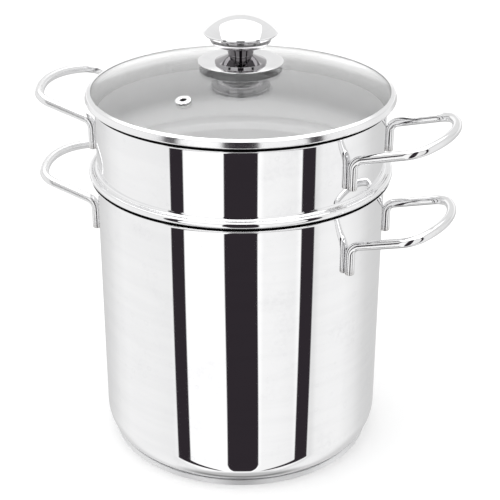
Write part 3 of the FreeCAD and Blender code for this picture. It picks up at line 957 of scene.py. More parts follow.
class Finishes:
    """Every material of the pot, made once."""

    def __init__(self, effects: Effects) -> None:
        """Builds the materials.

        Args:
            effects: The shared groups.
        """
        # A seam range paints near black shade into the shadowed gap under a rim: on pot_satin, insert_mirror,
        # band_mirror and insert_satin.
        mirror = SteelFinish(
            "pot_mirror", (0.94, 0.94, 0.945), (0.86, 0.86, 0.87), roughness=0.025, dull_roughness=0.055,
            lines=900.0, line_sweep=1.2, line_depth=2.5e-7, wave_depth=4e-6)
        knob = replace(
            mirror, name="knob_mirror", roughness=0.03, dull_roughness=0.06, lines=1500.0, line_sweep=0.8,
            line_depth=2.0e-7, wave_depth=0.0, drops=0.3)
        satin = SteelFinish(
            "pot_satin", (0.95, 0.95, 0.955), (0.90, 0.90, 0.905), roughness=0.42, dull_roughness=0.55,
            lines=1400.0, line_sweep=0.7, line_depth=3e-6, seam=(114.9, 217.5, 222.0))
        fastener = SteelFinish(
            "turned_fastener", (0.66, 0.66, 0.67), (0.52, 0.52, 0.53), roughness=0.22, dull_roughness=0.36,
            lines=2500.0, line_sweep=0.4, line_depth=3e-6)
        self.pot_mirror = mirror.material(effects)
        self.insert_mirror = replace(
            mirror, name="insert_mirror", line_sweep=1.6, wave_depth=3e-6,
            seam=(116.1, 216.0, 223.3)).material(effects)
        self.knob_mirror = knob.material(effects)
        self.band_mirror = replace(
            knob, name="band_mirror", roughness=0.13, dull_roughness=0.18, lines=1200.0, line_sweep=1.0,
            line_depth=3.0e-7, seam=(116.4, 270.0, 282.6)).material(effects)
        # The next two finishes are the knob mirror with darker colours: painted shade on the foot, stem and
        # bowl under the cap.
        self.neck_shaded_mirror = replace(
            knob, name="neck_shaded_mirror", colour=(0.36, 0.35, 0.36),
            dull_colour=(0.32, 0.31, 0.32)).material(effects)
        self.bowl_shaded_mirror = replace(
            knob, name="bowl_shaded_mirror", colour=(0.55, 0.54, 0.55), dull_colour=(0.48, 0.47, 0.48),
            roughness=0.04, dull_roughness=0.07).material(effects)
        # Darker fastener steel for the rivet's bore: painted shade inside the hole.
        self.bore_painted_shade = replace(
            fastener, name="bore_painted_shade", colour=(0.24, 0.23, 0.23), dull_colour=(0.14, 0.13, 0.13),
            roughness=0.30, dull_roughness=0.45, line_sweep=0.6, line_depth=1e-6).material(effects)
        self.pot_satin = satin.material(effects)
        self.insert_satin = replace(
            satin, name="insert_satin", roughness=0.70, dull_roughness=0.80,
            seam=(113.3, 276.5, 281.0)).material(effects)
        self.base_turned = replace(
            satin, name="base_turned", colour=(0.88, 0.88, 0.885), dull_colour=(0.80, 0.80, 0.805),
            dull_roughness=0.52, lines=650.0, line_sweep=0.5, line_depth=6e-6, seam=None).material(effects)
        self.fastener = fastener.material(effects)
        softer = RodFinish("soft_polished_rod", (0.87, 0.87, 0.875), roughness=0.27, weld_roughness=0.36)
        self.rods = {1: RodFinish().material(effects), -1: softer.material(effects)}
        self.glass = GlassFinish().material(effects)
        self.silicone = SiliconeFinish().material(effects)


def climb_rim(sheet: BentSheet, rim: tuple[float, float, float], shoulder: float, entry: float,
              seat: float) -> BentSheet:
    """Carries an upright wall out over a rim, so that it hangs from the rim's bend.

    Args:
        sheet: The sheet, heading up inside the rim.
        rim: Radius and height of the rim bend's centre, and the radius of its upper face.
        shoulder: Bend radius between the wall and the slope that meets the rim.
        entry: Heading of that slope in degrees.
        seat: Heading at which the sheet leaves the rim.

    Returns:
        The same sheet.
    """
    centre_radius, centre_height, seat_radius = rim
    swing = UPWARD - entry
    contact = np.array([centre_radius, centre_height]) + seat_radius * unit_left(entry)
    out = shoulder * (1 - cos_of(swing))
    slant = (contact[0] - sheet.radius - out) / cos_of(entry)
    up = shoulder * sin_of(swing) + slant * sin_of(entry)
    sheet.run_to_height(contact[1] - up)
    return sheet.bend(shoulder, -swing).run(slant).bend(seat_radius, seat - entry)


@dataclass
class RodHandle:
    """One handle bent from round rod: two welded legs and a loop that rises outward."""

    finishes: Finishes
    name: str
    node: str
    wall_radius: float
    corner_height: float
    side: int
    rod_radius: float = 3.5
    weld_flat: float = 0.4
    half_span: float = 42.8
    reach: float = 62.0
    rise: float = 14.5
    leg_bend: float = 8.0
    corner_radius: float = 17.4
    corner_angle: float = 60.0
    leg_length: float = 22.5
    end_round: float = 1.2
    round_steps: int = 40
    leg_bend_steps: int = 12
    end_steps: int = 5
    least_step: float = 1e-6

    def centre_line(self) -> tuple[Array, Array, Array, Array]:
        """Samples the rod's centre line from one leg's foot to the other's.

        The leg is straight up, then bends outward; the loop lies in the tilted plane, where
        it is a straight run, a corner, the wide tip, a corner and the run back. The second
        leg mirrors the first.

        Returns:
            Points, directions, sideways unit vectors and lengths along.
        """
        axis = self.wall_radius + self.rod_radius - self.weld_flat
        foot = np.array([math.sqrt(axis ** 2 - self.half_span ** 2), 0.0, self.corner_height])
        away, across, up = np.eye(3)
        out = np.array([cos_of(self.rise), 0.0, sin_of(self.rise)])
        turn = UPWARD - self.rise
        trim = self.leg_bend * math.tan(math.radians(turn / 2))
        cos, sin = cos_of(self.corner_angle), sin_of(self.corner_angle)
        tip = (self.half_span - self.corner_radius * (1 - cos)) / cos
        depth = self.corner_radius * sin + tip * (1 - sin)
        loop = BentSheet(0.0, -self.half_span, 0.0, 0.0).run(self.reach - depth - trim)
        loop.bend(self.corner_radius, self.corner_angle).bend(tip, UPWARD - self.corner_angle)
        flat = loop.face()
        swing = np.radians(np.linspace(0.0, turn, self.leg_bend_steps + 1))[:, None]
        bend_centre = foot - up * trim + self.leg_bend * away
        arc = bend_centre + self.leg_bend * (np.sin(swing) * up - np.cos(swing) * away)
        leg = foot - up * np.array([[self.leg_length], [trim]])
        leg[:, 1] = arc[:, 1] = -self.half_span
        upright = np.concatenate([leg, arc])
        points = np.concatenate([
            upright, foot + out * trim + flat.points[:, :1] * out + flat.points[:, 1:] * across])
        ways = np.concatenate([
            np.tile(up, (len(leg), 1)), np.cos(swing) * up + np.sin(swing) * away,
            flat.normals[:, :1] * across - flat.normals[:, 1:] * out])
        sides = np.concatenate([
            np.tile(-across, (len(upright), 1)), flat.normals[:, :1] * out + flat.normals[:, 1:] * across])
        mirror = np.array([1.0, -1.0, 1.0])
        points, ways, sides = (
            np.concatenate([part, sign * (part * mirror)[-2::-1]])
            for part, sign in ((points, 1), (ways, -1), (sides, 1)))
        step = np.linalg.norm(np.diff(points, axis=0), axis=1)
        kept = np.concatenate([[True], step > self.least_step])
        along = np.concatenate([[0.0], np.cumsum(step)])
        return points[kept], ways[kept], sides[kept], along[kept]

    def build(self) -> None:
        """Carries a circle along the centre line and presses it flat against the wall.

        A point of the rod is c + r (side cos p + normal sin p), with the normal square to the
        direction and the side. What would reach into the wall is moved out to the wall.
        """
        centre, way, side, along = self.centre_line()
        normal = np.cross(way, side)
        angle = np.radians(FULL_TURN * np.arange(self.round_steps + 1) / self.round_steps)
        circle = np.stack([np.cos(angle), np.sin(angle)], axis=-1)
        swing = np.radians(np.linspace(0.0, UPWARD, self.end_steps + 1))
        whole = np.arange(len(centre))
        level = np.zeros(len(whole))
        rings = [(whole, level + self.rod_radius, level, level)]
        for end, sign in ((0, -1), (len(centre) - 1, 1)):
            rings += [
                (np.full(len(swing), end), self.rod_radius - self.end_round * (1 - np.cos(swing)),
                 sign * np.sin(swing), -sign * self.end_round * (1 - np.sin(swing))),
                (np.full(2, end), np.array([self.rod_radius - self.end_round, 0.0]),
                 np.full(2, float(sign)), np.zeros(2))]
        mesh = PieceMesh(self.name)
        half_turn = np.array([self.side, self.side, 1.0])
        for samples, radii, tilts, shifts in rings:
            spoke = side[samples][:, None] * circle[:, :1] + normal[samples][:, None] * circle[:, 1:]
            tilt, shift = tilts[:, None, None], shifts[:, None, None]
            looks = spoke * np.sqrt(1 - tilt ** 2) + way[samples][:, None] * tilt
            points = centre[samples][:, None] + way[samples][:, None] * shift + spoke * radii[:, None, None]
            if samples is whole:
                points[0] += way[0] * self.end_round
                points[-1] -= way[-1] * self.end_round
            reach = np.linalg.norm(points[..., :2], axis=-1, keepdims=True)
            points[..., :2] *= np.maximum(reach, self.wall_radius) / reach
            distance = np.minimum(along, along[-1] - along)[samples]
            run = np.concatenate([
                np.broadcast_to(circle * self.rod_radius, spoke.shape[:2] + (2,)),
                np.broadcast_to(distance[:, None, None], spoke.shape[:2] + (1,))], axis=-1)
            mesh.add(points * half_turn, looks * half_turn, run=run)
        mesh.finish(self.node, "handle_steel", self.finishes.rods[self.side])


def handle_pair(finishes: Finishes, name: str, wall_radius: float, corner_height: float) -> None:
    """Builds the two handles of a vessel.

    Args:
        finishes: The materials.
        name: What their nodes' names start with.
        wall_radius: Outer radius of the wall that they are welded to.
        corner_height: Height at which the legs turn into the loop.
    """
    for end, side in (("right", 1), ("left", -1)):
        RodHandle(finishes, f"{name}_{end}_rod", f"{name}_{end}", wall_radius, corner_height, side).build()


@dataclass
class StockPot:
    """The pot: drawn shell with a flared rim, bonded base disc and two handles."""

    finishes: Finishes
    bore_radius: float = 110.0
    wall: float = 0.8
    rim_height: float = 221.3
    rim_bend: float = 3.4
    rim_lip: float = 0.95
    corner_reach: float = 11.5
    corner_rise: float = 20.0
    corner_split: float = 45.0
    base_thickness: float = 3.0
    base_rim_height: float = 4.4
    base_inset: float = 6.3
    base_gap: float = 0.25
    base_softness: float = 0.4
    base_corner_steps: int = 4
    base_hollow_steps: int = 5
    handle_drop: float = 27.6
    segments: int = 240

    @property
    def radius(self) -> float:
        """Outer radius of the wall."""
        return self.bore_radius + self.wall

    @property
    def rim(self) -> tuple[float, float, float]:
        """Centre of the rim's bend and the radius of its upper face."""
        upper = self.rim_bend + self.wall
        return self.radius + self.rim_bend, self.rim_height - upper, upper

    def corner_bends(self) -> tuple[float, float]:
        """Bend radii of the two arcs that turn the floor into the wall.

        Returns:
            The floor's bend radius and the wall's.
        """
        cos, sin = cos_of(self.corner_split), sin_of(self.corner_split)
        wall = (self.corner_rise * cos - self.corner_reach * (1 - sin)) / (sin * cos - (1 - cos) * (1 - sin))
        return (self.corner_reach - wall * (1 - cos)) / cos, wall

    def shell(self) -> None:
        """Builds the drawn shell, mirror outside and satin inside."""
        floor_bend, wall_bend = self.corner_bends()
        sheet = BentSheet(0.0, self.base_thickness, 0.0, self.wall)
        sheet.run_to_radius(self.radius - self.corner_reach)
        sheet.bend(floor_bend, UPWARD - self.corner_split).bend(wall_bend, self.corner_split)
        sheet.run_to_height(self.rim_height - self.wall - self.rim_bend)
        sheet.bend(self.rim_bend, -UPWARD).run(self.rim_lip)
        rim_step = 4
        mesh = PieceMesh("pot_wall_polished")
        for section, face in ((sheet.face(), Face.OUTER),
                              (sheet.face(self.wall, outward=1, last=rim_step), Face.INNER),
                              (sheet.face(self.wall, outward=1, first=rim_step), Face.OUTER),
                              (sheet.edge(True, EdgeCut.ROUND), Face.OUTER)):
            mesh.revolve(section, self.segments, face)
        mesh.finish("pot_shell", "pot_steel", self.finishes.pot_mirror, self.finishes.pot_satin)

    def base_disc(self) -> None:
        """Builds the bonded disc, whose edge rises a little way up the rounded corner."""
        floor_bend = self.corner_bends()[0]
        outer, rim = self.radius - self.base_inset, self.base_rim_height
        hollow_centre = self.base_thickness + floor_bend
        heights = np.linspace(rim, self.base_thickness, self.base_hollow_steps + 1)
        reach = (self.radius - self.corner_reach
                 + np.sqrt((floor_bend + self.base_gap) ** 2 - (hollow_centre - heights) ** 2))
        block = soft_outline([(0.0, 0.0), (outer, 0.0), (outer, rim), (0.0, rim)], self.base_softness,
                             self.base_corner_steps)
        shown = 3 * (self.base_corner_steps + 1)
        foot = Section(block.points[:shown], block.normals[:shown])
        top = np.stack([np.append(reach, 0.0), np.append(heights, self.base_thickness)], axis=-1)
        top = np.vstack([foot.points[-1:], top])
        mesh = PieceMesh("base_disc_turned")
        mesh.revolve(foot, self.segments)
        mesh.revolve(Section.level(top, (0.0, 1.0)), self.segments, Face.INNER)
        mesh.finish("pot_base_disc", "base_steel", self.finishes.base_turned, self.finishes.pot_satin)

    def build(self) -> None:
        """Builds the pot and both its handles."""
        self.shell()
        self.base_disc()
        handle_pair(self.finishes, "pot_handle", self.radius, self.rim_height - self.handle_drop)


@dataclass
class PastaInsert:
    """The drawn insert: perforated basket, seat on the pot's rim, plain band and two handles."""

    finishes: Finishes
    pot: StockPot
    wall: float = 0.7
    basket_clearance: float = 1.7
    floor_height: float = 28.0
    corner_radius: float = 12.0
    shoulder_bend: float = 3.0
    seat_clearance: float = 0.12
    entry: float = 60.0
    seat: float = 35.0
    bead_radius: float = 2.6
    bead_projection: float = 5.75
    bead_fillet: float = 2.0
    band_step: float = 0.55
    band_height: float = 58.2
    rim_bend: float = 2.0
    rim_lip: float = 0.9
    hole_radius: float = 4.0
    hole_rows: int = 6
    holes_per_row: int = 20
    row_pitch: float = 26.0
    first_row: float = 22.0
    below_first_row: float = 9.0
    ring_pitch: float = 27.0
    rings: int = 3
    holes_per_ring: int = 6
    handle_drop: float = 19.1
    segments: int = 240
    cell_sides: int = 4
    cell_rings: int = 2

    @property
    def basket_radius(self) -> float:
        """Outer radius of the basket."""
        return self.pot.bore_radius - self.basket_clearance

    @property
    def band_radius(self) -> float:
        """Outer radius of the plain band."""
        return self.pot.radius - self.band_step

    @property
    def top(self) -> float:
        """Height of the top rim."""
        return self.pot.rim_height + self.band_height

    @property
    def rim(self) -> tuple[float, float, float]:
        """Centre of the top rim's bend and the radius of its upper face."""
        upper = self.rim_bend + self.wall
        return self.band_radius + self.rim_bend, self.top - upper, upper

    def sheet(self) -> BentSheet:
        """Draws the insert in section, from the middle of its floor to its top rim.

        Returns:
            The sheet.
        """
        sheet = BentSheet(0.0, self.floor_height, 0.0, self.wall)
        sheet.run_to_radius(self.basket_radius - self.corner_radius).bend(self.corner_radius, UPWARD)
        rim = (self.pot.rim[0], self.pot.rim[1], self.pot.rim[2] + self.seat_clearance)
        climb_rim(sheet, rim, self.shoulder_bend, self.entry, self.seat)
        bead_centre = self.pot.radius + self.bead_projection - self.bead_radius
        sheet.run_to_radius(bead_centre + self.bead_radius * sin_of(self.seat))
        leave = math.degrees(math.acos((self.band_radius + self.bead_fillet - bead_centre)
                                       / (self.bead_radius + self.bead_fillet)))
        sheet.bend(self.bead_radius, UPWARD + leave - self.seat).bend(self.bead_fillet, -leave)
        sheet.run_to_height(self.rim[1])
        return sheet.bend(self.rim_bend, -UPWARD).run(self.rim_lip)

    def wall_cells(self, mesh: PieceMesh) -> tuple[float, float]:
        """Adds the staggered rows of holes in the basket's wall.

        A cell is drawn on the unrolled wall, as (arc length, height), and rolled up by
        t = arc length / r. The hole is bored by a straight drill, so its edge lies at the
        arc length r asin(h cos p / r), where h is the hole's radius.

        Args:
            mesh: Where they are added.

        Returns:
            Heights at which the rows start and end.
        """
        shares = cell_outline(self.segments // self.holes_per_row, self.cell_sides)
        half_angle = math.pi / self.holes_per_row
        low = self.floor_height + self.first_row - self.below_first_row
        for row in range(self.hole_rows):
            height = self.floor_height + self.first_row + row * self.row_pitch
            below = self.row_pitch / 2 if row else self.below_first_row
            top = height + self.row_pitch / 2
            rims = []
            for radius, sign in ((self.basket_radius, 1), (self.basket_radius - self.wall, -1)):
                outline = shares * [radius * half_angle, 1.0]
                outline[:, 1] *= np.where(shares[:, 1] < 0, below, self.row_pitch / 2)
                bearing = np.arctan2(outline[:, 1], outline[:, 0])
                hole = np.stack([radius * np.arcsin(self.hole_radius * np.cos(bearing) / radius),
                                 self.hole_radius * np.sin(bearing)], axis=-1)
                grid = fill_cell(outline, hole, self.cell_rings)
                for number in range(self.holes_per_row):
                    middle = 2 * half_angle * (number + 0.5 * (row % 2))
                    angle = middle + grid[..., 0] / radius
                    looks = np.stack([np.cos(angle), np.sin(angle), np.zeros_like(angle)], axis=-1)
                    points = looks * radius
                    points[..., 2] = height + grid[..., 1]
                    mesh.add(points, looks * sign, Face.OUTER if sign > 0 else Face.INNER)
                    if sign > 0:
                        rims.append(points[-1])
                    else:
                        axis = np.array([math.cos(middle), math.sin(middle), 0.0])
                        pair = np.stack([rims[number], points[-1]])
                        offset = pair - np.array([0.0, 0.0, height])
                        inward = (offset @ axis)[..., None] * axis - offset
                        mesh.add(pair, inward)
        return low, top

    def floor_cells(self, mesh: PieceMesh) -> float:
        """Adds the rings of holes in the basket's floor.

        A cell is a sector of a ring, p = (r cos t, r sin t), with its hole in the middle.

        Args:
            mesh: Where they are added.

        Returns:
            Radius at which the holed part ends.
        """
        faces = ((self.floor_height, -1, Face.OUTER), (self.floor_height + self.wall, 1, Face.INNER))
        drill = np.radians(FULL_TURN * np.arange(self.segments + 1) / self.segments)
        for height, sign, face in faces:
            middle = [[self.hole_radius, height], [self.ring_pitch / 2, height]]
            mesh.revolve(Section.level(middle, (0.0, sign)), self.segments, face)
        bore = np.stack([np.stack([self.hole_radius * np.cos(drill), self.hole_radius * np.sin(drill),
                                   np.full(len(drill), face[0])], axis=-1) for face in faces])
        mesh.add(bore, -bore * [1.0, 1.0, 0.0])
        for ring in range(1, self.rings + 1):
            count = ring * self.holes_per_ring
            shares = cell_outline(self.segments // count, self.cell_sides)
            angle = shares[:, 0] * math.pi / count
            radius = self.ring_pitch * (ring + shares[:, 1] / 2)
            centre = np.array([ring * self.ring_pitch, 0.0])
            outline = np.stack([radius * np.cos(angle), radius * np.sin(angle)], axis=-1) - centre
            bearing = np.arctan2(outline[:, 1], outline[:, 0])
            hole = self.hole_radius * np.stack([np.cos(bearing), np.sin(bearing)], axis=-1)
            grid = fill_cell(outline, hole, self.cell_rings)
            for number in range(count):
                spin = spin_matrix(2 * math.pi * number / count)
                flat = (grid + centre) @ spin
                edge = []
                for height, sign, face in faces:
                    points = np.concatenate([flat, np.full(flat.shape[:2] + (1,), height)], axis=-1)
                    looks = np.zeros_like(points)
                    looks[..., 2] = sign
                    mesh.add(points, looks, face)
                    edge.append(points[-1])
                spot = np.append(centre @ spin, 0.0)
                pair = np.stack(edge)
                mesh.add(pair, (spot - pair) * [1.0, 1.0, 0.0])
        return self.ring_pitch * (self.rings + 0.5)

    def shell(self) -> None:
        """Builds the whole insert, with every hole open."""
        mesh = PieceMesh("insert_polished")
        sheet = self.sheet()
        floor_end = self.floor_cells(mesh)
        low, high = self.wall_cells(mesh)
        for offset, outward, face in ((0.0, -1, Face.OUTER), (self.wall, 1, Face.INNER)):
            corner = sheet.face(offset, outward, first=1, last=2)
            upper = sheet.face(offset, outward, first=3)
            inmost, outmost, above = corner.points[0], corner.points[-1], upper.points[0]
            edge = Section.level([[floor_end, inmost[1]], inmost], corner.normals[0])
            rise = Section.level([outmost, [outmost[0], low]], corner.normals[-1])
            bridge = Section.level([[above[0], high], above], upper.normals[0])
            for part in (edge, corner, rise, bridge, upper):
                mesh.revolve(part, self.segments, face)
        mesh.revolve(sheet.edge(True, EdgeCut.ROUND), self.segments)
        mesh.finish("insert_shell", "insert_steel", self.finishes.insert_mirror, self.finishes.insert_satin)

    def build(self) -> None:
        """Builds the insert and both its handles."""
        self.shell()
        handle_pair(self.finishes, "insert_handle", self.band_radius, self.top - self.handle_drop)


@dataclass
class GlassLid:
    """The domed glass in its rolled steel ring."""

    finishes: Finishes
    insert: PastaInsert
    sheet: float = 0.5
    skirt_clearance: float = 0.9
    skirt_depth: float = 9.0
    skirt_bend: float = 2.0
    seat: float = 50.0
    channel_lift: float = 2.9
    inner_bend: float = 1.5
    channel_projection: float = 6.75
    outer_bend: float = 1.2
    lean: float = 18.0
    top_bend: float = 1.6
    lip: float = 2.2
    lip_inset: float = 3.6
    glass_thickness: float = 4.0
    dome_radius: float = 350.0
    edge_gap: float = 0.5
    edge_bevel: float = 0.8
    bedding: float = 0.05
    knob_hole: float = 4.0
    vent_distance: float = 75.0
    vent_angle: float = -99.0
    vent_hole: float = 4.2
    vent_cell_reach: float = 13.0
    vent_cell_columns: int = 14
    vent_cell_rows: int = 6
    vent_cell_rings: int = 3
    dome_rows: tuple[int, int] = (14, 8)
    segments: int = 240

    @property
    def channel_radius(self) -> float:
        """Outer radius of the channel."""
        return self.insert.band_radius + self.channel_projection

    @property
    def channel_height(self) -> float:
        """Height of the channel's underside."""
        return self.insert.top + self.channel_lift

    @property
    def glass_edge(self) -> float:
        """Radius of the glass."""
        return self.channel_radius - self.sheet - self.edge_gap - self.outer_bend

    @property
    def dome_centre(self) -> float:
        """Height of the centre of the glass dome."""
        under = self.dome_radius - self.glass_thickness
        return self.channel_height + self.sheet + self.bedding - math.sqrt(under ** 2 - self.glass_edge ** 2)

    def dome_height(self, radius: Array | float, offset: float = 0.0) -> Array:
        """Height of the dome, or of a face that lies the offset outside it."""
        return self.dome_centre + np.sqrt((self.dome_radius + offset) ** 2 - np.asarray(radius) ** 2)

    def rim_band(self) -> None:
        """Builds the rolled ring: skirt, seat, channel and the lip over the glass."""
        insert = self.insert
        skirt = insert.band_radius - insert.wall - self.skirt_clearance
        sheet = BentSheet(skirt, insert.top - self.skirt_depth, UPWARD, self.sheet)
        rim = (insert.rim[0], insert.rim[1], insert.rim[2] + insert.seat_clearance)
        climb_rim(sheet, rim, self.skirt_bend, insert.entry, self.seat)
        sheet.run_to_height(self.channel_height - self.inner_bend * (1 - cos_of(self.seat)))
        sheet.bend(self.inner_bend, -self.seat).run_to_radius(self.channel_radius - self.outer_bend)
        sheet.bend(self.outer_bend, UPWARD + self.lean)
        lip_radius, offset = self.channel_radius - self.lip_inset, self.sheet + self.bedding
        slope = math.degrees(math.asin(lip_radius / (self.dome_radius + offset)))
        lip_heading = HALF_TURN - slope
        lip_point = np.array([lip_radius, self.dome_height(lip_radius, offset)])
        normal = unit_left(lip_heading)
        after = (np.array([sheet.radius, sheet.height])
                 + self.top_bend * (unit_left(sheet.heading) - normal))
        length = ((lip_point - after) @ normal) / (unit_along(sheet.heading) @ normal)
        sheet.run(length).bend(self.top_bend, lip_heading - sheet.heading).run(self.lip)
        mesh = PieceMesh("lid_ring_rolled").revolve_sheet(sheet, self.segments, EdgeCut.ROUND, EdgeCut.ROUND)
        mesh.finish("lid_rim_band", "band_steel", self.finishes.band_mirror, self.finishes.band_mirror)

    def dome_part(self, inner: float, outer: float, offset: float, rows: int) -> Section:
        """Part of one face of the dome, z = c + sqrt(R^2 - r^2), with its normals.

        Args:
            inner: Smaller radius.
            outer: Larger radius.
            offset: 0 for the upper face, minus the thickness for the lower.
            rows: Steps between them.

        Returns:
            The part as a section.
        """
        radius = np.linspace(inner, outer, rows + 1)
        points = np.stack([radius, self.dome_height(radius, offset)], axis=-1)
        looks = (points - [0.0, self.dome_centre]) / (self.dome_radius + offset)
        return Section(points, looks if offset == 0 else -looks)

    def glass(self) -> None:
        """Builds the dome with its two holes and ground edge.

        The grid starts at the vent's angle. Round the vent one cell of it is filled by
        straight lines from the cell's outline to the hole.
        """
        mesh = PieceMesh("lid_glass_domed")
        near, far = self.vent_distance - self.vent_cell_reach, self.vent_distance + self.vent_cell_reach
        half = self.vent_cell_columns / 2 * FULL_TURN / self.segments
        inside, outside = self.dome_rows
        holes, faces = [], []
        for offset, top in ((0.0, self.glass_edge - self.edge_bevel),
                            (-self.glass_thickness, self.glass_edge)):
            for inner, outer, rows in ((self.knob_hole, near, inside), (far, top, outside)):
                mesh.revolve(self.dome_part(inner, outer, offset, rows), self.segments, start=self.vent_angle)
            mesh.revolve(self.dome_part(near, far, offset, self.vent_cell_rows),
                         self.segments - self.vent_cell_columns,
                         start=self.vent_angle + half, sweep=FULL_TURN - 2 * half)
            holes.append(self.vent_cell(mesh, half, offset))
            faces.append(self.dome_part(self.knob_hole, top, offset, 1))
        upper, lower = faces
        shoulder = np.array([self.glass_edge, upper.points[-1, 1] - self.edge_bevel])
        slant = (math.sqrt(0.5),) * 2
        for points, look in (((upper.points[-1], shoulder), slant),
                             ((shoulder, lower.points[-1]), (1.0, 0.0)),
                             ((upper.points[0], lower.points[0]), (-1.0, 0.0))):
            mesh.revolve(Section.level(points, look), self.segments, start=self.vent_angle)
        pair = np.stack(holes)
        mesh.add(pair, pair.mean(axis=1, keepdims=True) - pair)
        mesh.finish("lid_glass", "lid_glass", self.finishes.glass)

    def vent_cell(self, mesh: PieceMesh, half: float, offset: float) -> Array:
        """Adds the piece of dome round the vent and gives the edge of its hole.

        Args:
            mesh: Where it is added.
            half: Half the cell's angle in degrees.
            offset: 0 for the upper face, minus the thickness for the lower.

        Returns:
            Points on the edge of the hole.
        """
        shares = cell_outline(self.vent_cell_columns, self.vent_cell_rows)
        angle = np.radians(shares[:, 0] * half)
        radius = self.vent_distance + shares[:, 1] * self.vent_cell_reach
        tilt = self.vent_distance / self.dome_radius
        centre = np.array([(self.dome_radius + offset) * tilt, 0.0])
        outline = np.stack([radius * np.cos(angle), radius * np.sin(angle)], axis=-1) - centre
        bearing = np.arctan2(outline[:, 1], outline[:, 0])
        hole = np.stack([np.cos(bearing) * math.sqrt(1 - tilt ** 2), np.sin(bearing)], axis=-1)
        hole *= self.vent_hole
        flat = fill_cell(outline, hole, self.vent_cell_rings) + centre
        flat = flat @ spin_matrix(math.radians(self.vent_angle))
        reach = np.linalg.norm(flat, axis=-1)
        points = np.concatenate([flat, self.dome_height(reach, offset)[..., None]], axis=-1)
        looks = (points - [0.0, 0.0, self.dome_centre]) / (self.dome_radius + offset)
        mesh.add(points, looks if offset == 0 else -looks)
        return points[-1]

    def build(self) -> None:
        """Builds the ring and the glass."""
        self.rim_band()
        self.glass()


@dataclass
class SteamVent:
    """The hollow rivet in the glass and its silicone grommet."""

    finishes: Finishes
    lid: GlassLid
    bore: float = 2.2
    sheet: float = 0.5
    flange: float = 6.0
    curl: float = 5.0
    edge_bend: float = 0.9
    bore_bend: float = 0.8
    seal_flange: float = 0.8
    seal_softness: float = 0.08
    seal_corner_steps: int = 2
    fit: float = 0.1
    segments: int = 96

    def stood(self, points: Array, normals: Array) -> tuple[Array, Array]:
        """Stands a grid, made about the axis at height 0, square on the glass at the vent.

        Args:
            points: Grid of points.
            normals: Grid of normals.

        Returns:
            Both, tilted by the dome's slope and turned to the vent's angle.
        """
        tilt = math.asin(self.lid.vent_distance / self.lid.dome_radius)
        lean, spin = np.eye(3), np.eye(3)
        lean[::2, ::2] = spin_matrix(-tilt)
        spin[:2, :2] = spin_matrix(math.radians(self.lid.vent_angle))
        place = np.array([self.lid.vent_distance, 0.0, float(self.lid.dome_height(self.lid.vent_distance))])
        return (points @ lean + place) @ spin, normals @ lean @ spin

    def build(self) -> None:
        """Builds the rivet and the grommet."""
        top = self.fit + self.seal_flange + self.sheet
        foot = -self.lid.glass_thickness - top
        sheet = BentSheet(self.flange, top - self.edge_bend, UPWARD, self.sheet)
        sheet.bend(self.edge_bend, UPWARD).run_to_radius(self.bore + self.bore_bend)
        sheet.bend(self.bore_bend, UPWARD).run_to_height(foot + self.bore_bend)
        sheet.bend(self.bore_bend, UPWARD).run_to_radius(self.curl)
        rivet = PieceMesh("vent_rivet")
        bore_from, bore_to = 3, 4
        for section, face in ((sheet.face(last=bore_from), Face.OUTER),
                              (sheet.face(first=bore_from, last=bore_to), Face.INNER),
                              (sheet.face(first=bore_to), Face.OUTER),
                              (sheet.face(self.sheet, outward=1), Face.OUTER),
                              (sheet.edge(False, EdgeCut.ROUND), Face.OUTER),
                              (sheet.edge(True, EdgeCut.ROUND), Face.OUTER)):
            rivet.add(*self.stood(*section.turned(self.segments)), face)
        # the bore takes the darker finish: painted shade inside the hole
        rivet.finish("vent_eyelet", "band_steel", self.finishes.knob_mirror, self.finishes.bore_painted_shade)
        inner, neck = self.bore + self.sheet + self.fit, self.lid.vent_hole - self.fit
        rim, relief = self.flange - self.edge_bend - self.fit, self.bore_bend - self.sheet
        under = -self.lid.glass_thickness - self.fit
        top, foot = self.fit + self.seal_flange, under - self.seal_flange
        corners = [(inner + relief, foot), (rim, foot), (rim, under), (neck, under), (neck, self.fit),
                   (rim, self.fit), (rim, top), (inner + relief, top), (inner, top - relief),
                   (inner, foot + relief)]
        outline = soft_outline(corners, self.seal_softness, self.seal_corner_steps)
        grommet = PieceMesh("vent_grommet")
        grommet.add(*self.stood(*outline.turned(self.segments)))
        grommet.finish("vent_seal", "silicone", self.finishes.silicone)


